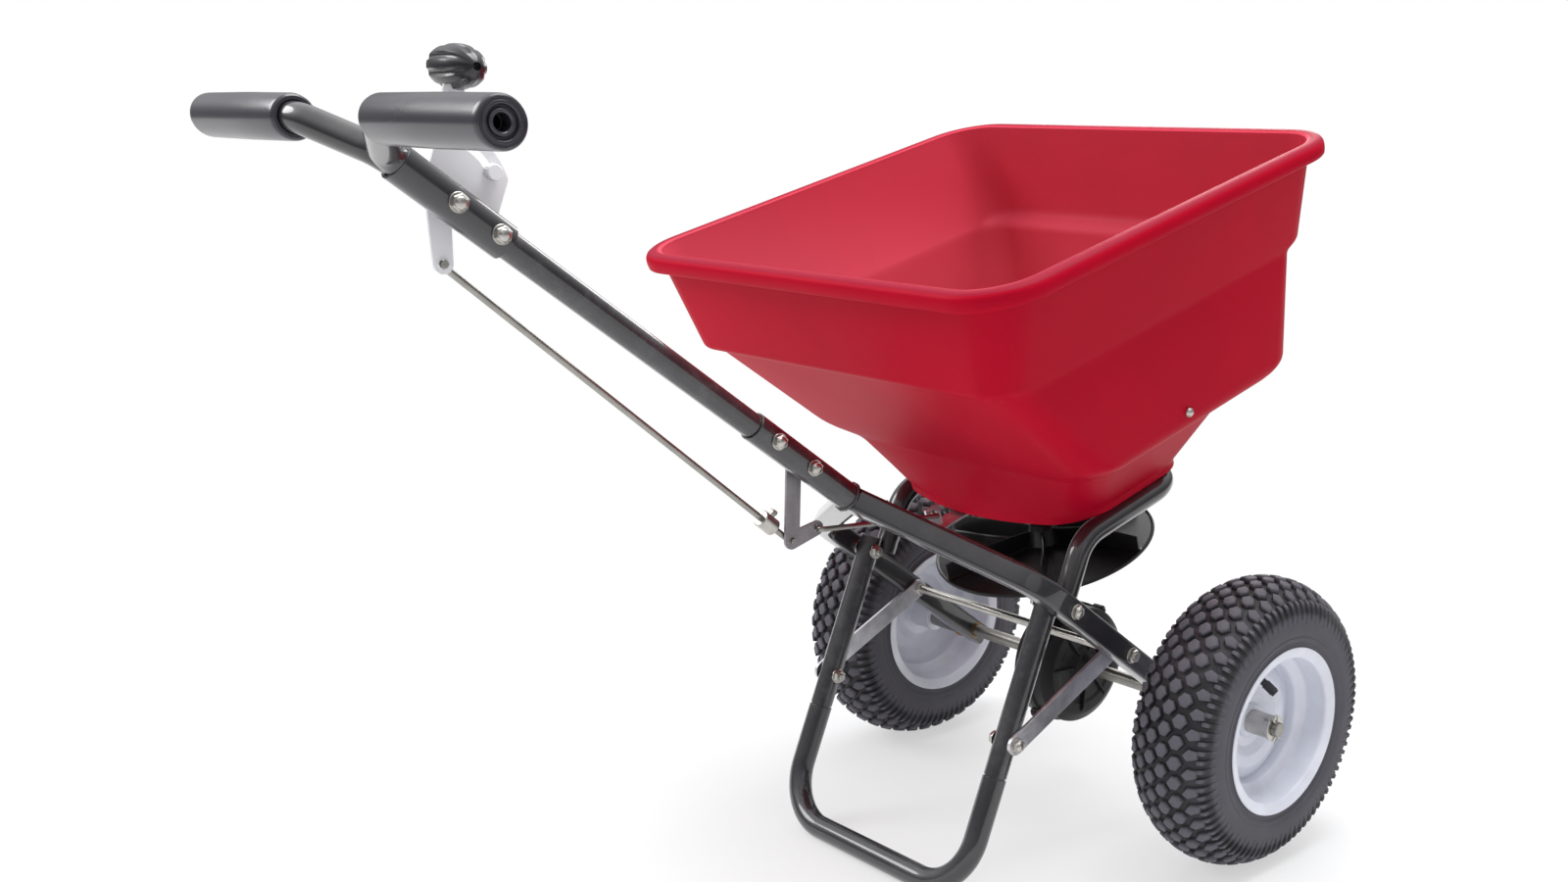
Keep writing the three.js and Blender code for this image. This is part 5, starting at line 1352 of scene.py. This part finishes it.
def build_gauge():
    """Clear-white rate plate: a sector about the lever pivot with an arc slot and raised ticks."""
    start, stop = math.radians(LEVER_REST - 62), math.radians(LEVER_REST + 8)
    sweep = stop - start
    back, low = on_handle(946, 0, -10), on_handle(879, 0, -10)
    outline = arc_2d(LEVER_PIVOT, GAUGE_R, start, sweep, 33) + [(back.y, back.z), (low.y, low.z)]
    margin = 0.12
    slot = arc_2d(LEVER_PIVOT, SLOT_OUTER_R, start + margin, sweep - 2 * margin, 29)
    slot += arc_2d(LEVER_PIVOT, SLOT_INNER_R, stop - margin, 2 * margin - sweep, 29)
    bm = plate(fillet_profile(outline, 4), GAUGE_X, GAUGE_T, [fillet_profile(slot, 2.5, 3)[::-1]])
    margin = 0.16
    for k in range(14):
        a = start + margin + (sweep - 2 * margin) * k / 13
        out = Vector((0, math.cos(a), math.sin(a)))
        across = Vector((0, -math.sin(a), math.cos(a)))
        foot = at_x(LEVER_PIVOT, GAUGE_X - 0.08)
        rings = []
        for d in (GAUGE_R - (7 if k % 5 == 0 else 6), GAUGE_R - 2):
            rings.append([foot + out * d + across * w + Vector((x, 0, 0))
                          for w, x in ((-0.4, 0.5), (-0.3, 0), (0.3, 0), (0.4, 0.5))])
        skin(bm, rings)
    finish_piece("rate_plate", bm, "white", "gauge_plate", 0.3, sharp=40)


def build_rate_stop():
    """Thumb screw in the slot of the rate plate: a knurled head, the screw and its nut."""
    centre = polar(LEVER_PIVOT, (SLOT_OUTER_R + SLOT_INNER_R) / 2, LEVER_REST - LEVER_SWING - 17.5)
    face = GAUGE_X + GAUGE_T + GAP
    back = GAUGE_X - GAP

    def knurl(radius):
        share = [1 - 0.06 * (k % 2) for k in range(36)]
        return [(radius * s * math.cos(a), radius * s * math.sin(a)) for s, a in zip(share, turns(36))]
    bm = bmesh.new()
    skin(bm, [along([(at_x(centre, face + x), RIGHTWARD)], knurl(radius))[0]
              for x, radius in ((0, 6.4), (0.8, 7), (7.2, 7), (8, 6.2))])
    cylinder(bm, at_x(centre, back - 6), at_x(centre, face + 1), 2.8)
    cylinder(bm, at_x(centre, back - 7), at_x(centre, back), 5, 28, 0.5)
    finish_piece("rate_thumb_screw", bm, "white", "rate_stop", sharp=35)


def build_linkage():
    """Pull rod with its collar, bell crank, and the link down to the shutter."""
    inner = LEVER_X + LEVER_T / 2 + 3
    bm = bmesh.new()
    bent_rod(bm, [at_x(LEVER_ROD_PIN, inner), at_x(LEVER_ROD_PIN, ROD_X), at_x(CRANK_ROD_PIN, ROD_X),
                  at_x(CRANK_ROD_PIN, inner)], [3.4, 3.4], ROD_R)
    finish_piece("pull_rod", bm, "axle", "control_rod", 0.4)
    down = (CRANK_ROD_PIN - LEVER_ROD_PIN).normalized()
    centre = at_x(CRANK_ROD_PIN - down * 34, ROD_X)
    out = (BEHIND_LEG - down * BEHIND_LEG.dot(down)).normalized()
    bm = bmesh.new()
    cylinder(bm, centre - down * 10, centre + down * 10, 9, 36, 0.8)
    cylinder(bm, centre, centre - out * 12, 3.2, 20, 0.4)
    hexagon(bm, centre - out * 11, centre - out * 15, 7.5, 0.4)
    finish_piece("rod_stop_collar", bm, "zinc", "rod_collar", 0.2)
    outline = knee_outline(CRANK_PIVOT, CRANK_ROD_PIN, LINK_PIN, (18, 18, 16))
    holes = [hole(CRANK_PIVOT, PIVOT_HOLE_R), hole(LINK_PIN, ROD_R + 0.3)]
    finish_piece("crank_plate", plate(outline, LEVER_INSIDE, LEVER_T, holes), "crank", "bell_crank", 0.5)
    bm = bmesh.new()
    bent_rod(bm, [at_x(LINK_PIN, LEVER_X - 5), at_x(LINK_PIN, LEVER_X + 9), at_x(EAR_PIN, LEVER_X + 14),
                  at_x(EAR_PIN, LEVER_X - 2)], [3.4, 3.4], ROD_R - 0.4)
    finish_piece("shutter_link", bm, "axle", "link_rod", 0.3)


# ---- fasteners ------------------------------------------------------------------------
def build_bolt(name, node, spot, low, high, side=1, spacer=None):
    """Bolt across the machine from low to high, with a spacer on its shank if one is given."""
    bm = bmesh.new()
    bolt(bm, at_x(spot, low), at_x(spot, high))
    if spacer:
        cylinder(bm, at_x(spot, spacer[0]), at_x(spot, spacer[1]), 9, 28, 0.3)
    finish_piece(name, bm, "zinc", node, sharp=32, side=side)


def build_fasteners():
    """Bolts of the rails, braces and handle, and the cross rod with its nuts."""
    leg_inside = RING_X - TUBE_R
    strap = (BRACE_X, BRACE_X + STRAP_T)
    for side, name in SIDES:
        build_bolt(f"rail_fixing_{name}", f"rail_bolt_{name}", leg_at_rail(), leg_inside, RAIL_OUTSIDE,
                   side, strap)
        build_bolt(f"brace_fixing_{name}", f"brace_bolt_{name}", leg_at(BRACE_BOLT_Z), leg_inside,
                   strap[1], side)
    for name, s, low, high in (
            ("lever_pivot_bolt", LEVER_AT, LEVER_INSIDE, SLEEVE_R),
            ("sleeve_bolt", SLEEVE_BOLT_AT, GAUGE_X, SLEEVE_R),
            ("neck_bolt", NECK_BOLT_AT, -NECK_R, NECK_R),
            ("crank_pivot_bolt", CRANK_AT, LEVER_INSIDE, NECK_R)):
        build_bolt(f"{name}_set", name, on_handle(s), low, high)
    middle = on_handle(CROSS_ROD_AT)
    rod_end = RIGHTWARD * (RAIL_OUTSIDE + 8)
    bm = bmesh.new()
    cylinder(bm, middle - rod_end, middle + rod_end, 5, 32, 0.6)
    for side in (-1, 1):
        out = RIGHTWARD * side
        face = middle + out * RAIL_OUTSIDE
        washer = face + out * WASHER_T
        cylinder(bm, face + out * 0.2, washer, 9, 30, 0.3)
        hexagon(bm, washer, face + out * 6.5, NUT_ACROSS)
        leg_side = middle + out * (RING_X + TUBE_R)
        hexagon(bm, leg_side + out * 0.1, leg_side - out * 5, NUT_ACROSS)
    finish_piece("cross_tie", bm, "zinc", "cross_rod", sharp=32)


# ---- stage ----------------------------------------------------------------------------
def floor_material():
    """Pale floor that keeps the shadow near the machine and fades to white beyond."""
    material, tree, bsdf = start_finish("Studio floor")
    feed(tree, bsdf, Base_Color=(0.86, 0.86, 0.87), Roughness=0.9, Specular_IOR_Level=0.1)
    far = ramp(tree, vector_node(tree, "LENGTH", coordinates(tree)), 0.5, 1.5)
    white = add_node(tree, "ShaderNodeEmission", Strength=1.0)
    path = tree.nodes.new("ShaderNodeLightPath").outputs
    mirrored = plus(tree, path["Is Glossy Ray"], path["Is Transmission Ray"])
    seen = plus(tree, path["Is Camera Ray"], mirrored, True)
    share = times(tree, plus(tree, times(tree, far, 0.45), 0.55), seen, True)
    surface = mix_shader(tree, share, bsdf.outputs["BSDF"], white.outputs["Emission"])
    feed(tree, tree.nodes["Material Output"], Surface=surface)
    return material


def build_floor(radius):
    """Round studio floor under the parked machine."""
    mesh = bpy.data.meshes.new("studio_floor")
    bm = bmesh.new()
    bmesh.ops.create_circle(bm, cap_ends=True, segments=96, radius=radius)
    bm.transform(Matrix.Translation(at_z(CAD_BOX[0][2])))
    bm.to_mesh(mesh)
    bm.free()
    floor = bpy.data.objects.new("studio_floor", mesh)
    bpy.context.scene.collection.objects.link(floor)
    mesh.materials.append(floor_material())


def build_sky(strength):
    """Soft light from all round, stronger overhead; the camera itself sees plain white."""
    world = bpy.data.worlds.new("Studio")
    world.use_nodes = True
    tree = world.node_tree
    toward = coordinates(tree, "Generated")
    overhead = times(tree, ramp(tree, part_of(tree, toward, "Z"), 0.0, 0.9), strength * 1.3)
    # the side towards the camera's right is a little darker, for shape
    shade = minus(tree, 1.0, times(tree, part_of(tree, toward, "X"), 0.22))
    soft = feed(tree, tree.nodes["Background"], Color=(0.97, 0.98, 1.0),
                Strength=times(tree, plus(tree, overhead, strength * 0.22), shade))
    plain = add_node(tree, "ShaderNodeBackground", Color=(1.0, 1.0, 1.0), Strength=1.0)
    seen = tree.nodes.new("ShaderNodeLightPath").outputs["Is Camera Ray"]
    surface = mix_shader(tree, seen, soft.outputs["Background"], plain.outputs["Background"])
    feed(tree, tree.nodes["World Output"], Surface=surface)
    bpy.context.scene.world = world


def build_lamps(power):
    """Four round lamps, each with its share of the power."""
    middle = Vector((0, 0.05, 0.4))
    for name, spot, size, share in (
            ("Key", (-2.0, -1.9, 2.3), 1.6, 1.1), ("Top", (0.3, 0.4, 2.9), 1.8, 1.5),
            ("Side", (2.6, -0.4, 1.3), 1.2, 0.04), ("Rim", (-1.4, 2.4, 1.6), 1.2, 0.4)):
        lamp = bpy.data.lights.new(name, "AREA")
        lamp.shape = "DISK"
        lamp.size = size
        lamp.energy = power * share
        light = bpy.data.objects.new(name, lamp)
        light.location = spot
        light.rotation_euler = (middle - Vector(spot)).to_track_quat("-Z", "Y").to_euler()
        bpy.context.scene.collection.objects.link(light)


def build_camera(stage):
    """Camera behind the right wheel; its place is given about the upright machine."""
    back = Vector((0.6549, -0.60651, 0.45076)).normalized()
    right = Vector((0.7297, 0.66276, -0.16832))
    right = (right - back * right.dot(back)).normalized()
    turn = Matrix((right, back.cross(right), back)).transposed()
    camera = bpy.data.cameras.new("Studio camera")
    camera.sensor_width = 36
    camera.lens = stage.lens
    camera.shift_x = stage.shift_x
    camera.shift_y = stage.shift_y
    camera.clip_end = 60
    eye = bpy.data.objects.new("Studio camera", camera)
    eye.location = PARKED @ Vector((1223.8, -1100.14, 973.27))
    eye.rotation_euler = (Matrix.Rotation(PARK_TILT, 3, "X") @ turn).to_euler()
    bpy.context.scene.collection.objects.link(eye)
    bpy.context.scene.camera = eye


# ---- settings -------------------------------------------------------------------------
def length(name, description, default, low, high):
    """A length given in millimetres and kept in metres, as Blender counts."""
    return bpy.props.FloatProperty(name=name, description=description, default=default / 1000,
                                   min=low / 1000, max=high / 1000, precision=4, unit="LENGTH")


def colour(name, description, default):
    """A colour of a finish."""
    return bpy.props.FloatVectorProperty(name=name, description=description, default=default,
                                         subtype="COLOR", size=3, min=0, max=1)


class SpreaderSizes(bpy.types.PropertyGroup):
    """Sizes a user may change, within what the other parts leave room for."""
    hopper_wall: length("Hopper wall", "Wall of the moulded hopper", 4.0, 2, 6)
    lip_width: length("Lip width", "How far the hopper lip stands out", 14.0, 8, 14)
    lip_drop: length("Lip drop", "Height of the turned-down lip", 17.0, 8, 20)
    grip_radius: length("Grip radius", "Radius of the hand grips", 18.5, 17, 21)
    stud_height: length("Stud height", "Height of the tread studs", 6.0, 3, 7)
    stud_count: bpy.props.IntProperty(
        name="Studs round a row", description="Studs in one row of the tread", default=44, min=20, max=50)
    vane_height: length("Vane height", "Height of the spinner vanes", 24.0, 12, 24)
    knob_half: length("Knob half length", "Half the length of the lever knob", 35.0, 20, 35)


class SpreaderColours(bpy.types.PropertyGroup):
    """Colours of the machine's finishes."""
    hopper: colour("Hopper", "Colour of the hopper", (0.47, 0.003, 0.021))
    frame: colour("Frame", "Colour of the tube frame", (0.018, 0.017, 0.021))
    rim: colour("Rims", "Colour of the wheel rims", (0.80, 0.82, 0.90))
    tyre: colour("Tyres", "Colour of the tyres", (0.068, 0.065, 0.079))
    grip: colour("Grips", "Colour of the grips and knob", (0.036, 0.034, 0.044))
    housing: colour("Gearbox and spinner", "Colour of the drive mouldings", (0.013, 0.012, 0.013))
    control: colour("Lever", "Colour of the lever and rate plate", (0.88, 0.88, 0.90))


class SpreaderStage(bpy.types.PropertyGroup):
    """Floor, light and camera."""
    floor_radius: bpy.props.FloatProperty(
        name="Floor radius", description="Radius of the floor", default=9.0, unit="LENGTH")
    key: bpy.props.FloatProperty(
        name="Key light", description="Power that the lamps are set from", default=38.0, min=0, unit="POWER")
    sky: bpy.props.FloatProperty(
        name="Sky light", description="Strength of the surrounding light", default=0.72, min=0)
    lens: bpy.props.FloatProperty(
        name="Lens", description="Focal length", default=35.36, unit="CAMERA")
    shift_x: bpy.props.FloatProperty(
        name="Shift X", description="Sideways shift of the lens", default=-0.1814)
    shift_y: bpy.props.FloatProperty(
        name="Shift Y", description="Vertical shift of the lens", default=0.0732)


# ---- operators and panel --------------------------------------------------------------
class SPREADER_OT_stage(bpy.types.Operator):
    """Lays the floor and sets the sky, the lamps and the camera"""
    bl_idname = "spreader.stage"
    bl_label = "Stage"
    bl_options = {"REGISTER", "UNDO"}

    def execute(self, context):
        stage = context.scene.spreader_stage
        context.scene.view_settings.view_transform = "Standard"
        build_floor(stage.floor_radius)
        build_sky(stage.sky)
        build_lamps(stage.key)
        build_camera(stage)
        return {"FINISHED"}


class SPREADER_OT_hopper(bpy.types.Operator):
    """Moulds the hopper with its lip, ledge, ports and rivets"""
    bl_idname = "spreader.hopper"
    bl_label = "Hopper"
    bl_options = {"REGISTER", "UNDO"}

    def execute(self, context):
        build_hopper(context.scene.spreader_sizes)
        both_sides(build_rivet)
        return {"FINISHED"}


class SPREADER_OT_push_frame(bpy.types.Operator):
    """Bends the rails, neck, handle tubes and support ring"""
    bl_idname = "spreader.push_frame"
    bl_label = "Push frame"
    bl_options = {"REGISTER", "UNDO"}

    def execute(self, context):
        build_push_frame()
        return {"FINISHED"}


class SPREADER_OT_grips(bpy.types.Operator):
    """Moulds the two hand grips"""
    bl_idname = "spreader.grips"
    bl_label = "Grips"
    bl_options = {"REGISTER", "UNDO"}

    def execute(self, context):
        both_sides(build_grip, context.scene.spreader_sizes)
        return {"FINISHED"}


class SPREADER_OT_stand(bpy.types.Operator):
    """Bends the legs and foot loop and cuts the braces"""
    bl_idname = "spreader.stand"
    bl_label = "Stand"
    bl_options = {"REGISTER", "UNDO"}

    def execute(self, context):
        build_stand()
        return {"FINISHED"}


class SPREADER_OT_wheels(bpy.types.Operator):
    """Builds the stud tyres, rims and valves"""
    bl_idname = "spreader.wheels"
    bl_label = "Wheels"
    bl_options = {"REGISTER", "UNDO"}

    def execute(self, context):
        both_sides(build_tyre, context.scene.spreader_sizes)
        both_sides(build_rim)
        both_sides(build_valve)
        return {"FINISHED"}


class SPREADER_OT_running_gear(bpy.types.Operator):
    """Turns the axle, bushes, spacers, washers and pins"""
    bl_idname = "spreader.running_gear"
    bl_label = "Running gear"
    bl_options = {"REGISTER", "UNDO"}

    def execute(self, context):
        build_running_gear()
        return {"FINISHED"}


class SPREADER_OT_drive(bpy.types.Operator):
    """Builds the gearbox, gears, spinner and agitator"""
    bl_idname = "spreader.drive"
    bl_label = "Drive"
    bl_options = {"REGISTER", "UNDO"}

    def execute(self, context):
        build_drive(context.scene.spreader_sizes)
        return {"FINISHED"}


class SPREADER_OT_shutter(bpy.types.Operator):
    """Finishes the shutter and its guide"""
    bl_idname = "spreader.shutter"
    bl_label = "Shutter"
    bl_options = {"REGISTER", "UNDO"}

    def execute(self, context):
        build_shutter()
        return {"FINISHED"}


class SPREADER_OT_controls(bpy.types.Operator):
    """Builds the lever, knob, rate plate and linkage"""
    bl_idname = "spreader.controls"
    bl_label = "Controls"
    bl_options = {"REGISTER", "UNDO"}

    def execute(self, context):
        build_lever()
        build_knob(context.scene.spreader_sizes)
        build_gauge()
        build_rate_stop()
        build_linkage()
        return {"FINISHED"}


class SPREADER_OT_fasteners(bpy.types.Operator):
    """Sets the bolts, washers and nuts"""
    bl_idname = "spreader.fasteners"
    bl_label = "Fasteners"
    bl_options = {"REGISTER", "UNDO"}

    def execute(self, context):
        build_fasteners()
        return {"FINISHED"}


OPERATORS = [
    SPREADER_OT_stage,
    SPREADER_OT_hopper,
    SPREADER_OT_push_frame,
    SPREADER_OT_grips,
    SPREADER_OT_stand,
    SPREADER_OT_wheels,
    SPREADER_OT_running_gear,
    SPREADER_OT_drive,
    SPREADER_OT_shutter,
    SPREADER_OT_controls,
    SPREADER_OT_fasteners,
]


class SPREADER_PT_panel(bpy.types.Panel):
    """Sizes, colours and building steps of the spreader"""
    bl_label = "Garden Spreader"
    bl_idname = "SPREADER_PT_panel"
    bl_space_type = "VIEW_3D"
    bl_region_type = "UI"
    bl_category = "Spreader"

    def draw(self, context):
        for settings in SETTINGS:
            box = self.layout.box()
            group = getattr(context.scene, settings)
            for name in group.__annotations__:
                box.prop(group, name)
        for step in OPERATORS:
            self.layout.operator(step.bl_idname)


SETTINGS = {
    "spreader_sizes": SpreaderSizes,
    "spreader_colours": SpreaderColours,
    "spreader_stage": SpreaderStage,
}
CLASSES = [*SETTINGS.values(), *OPERATORS, SPREADER_PT_panel]


def register():
    for cls in CLASSES:
        bpy.utils.register_class(cls)
    for name, cls in SETTINGS.items():
        setattr(bpy.types.Scene, name, bpy.props.PointerProperty(type=cls))


def unregister():
    for name in SETTINGS:
        delattr(bpy.types.Scene, name)
    for cls in reversed(CLASSES):
        bpy.utils.unregister_class(cls)


def main():
    """Registers the add-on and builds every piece."""
    register()
    for step in OPERATORS:
        group, name = step.bl_idname.split(".")
        getattr(getattr(bpy.ops, group), name)()


if __name__ == "__main__":
    main()
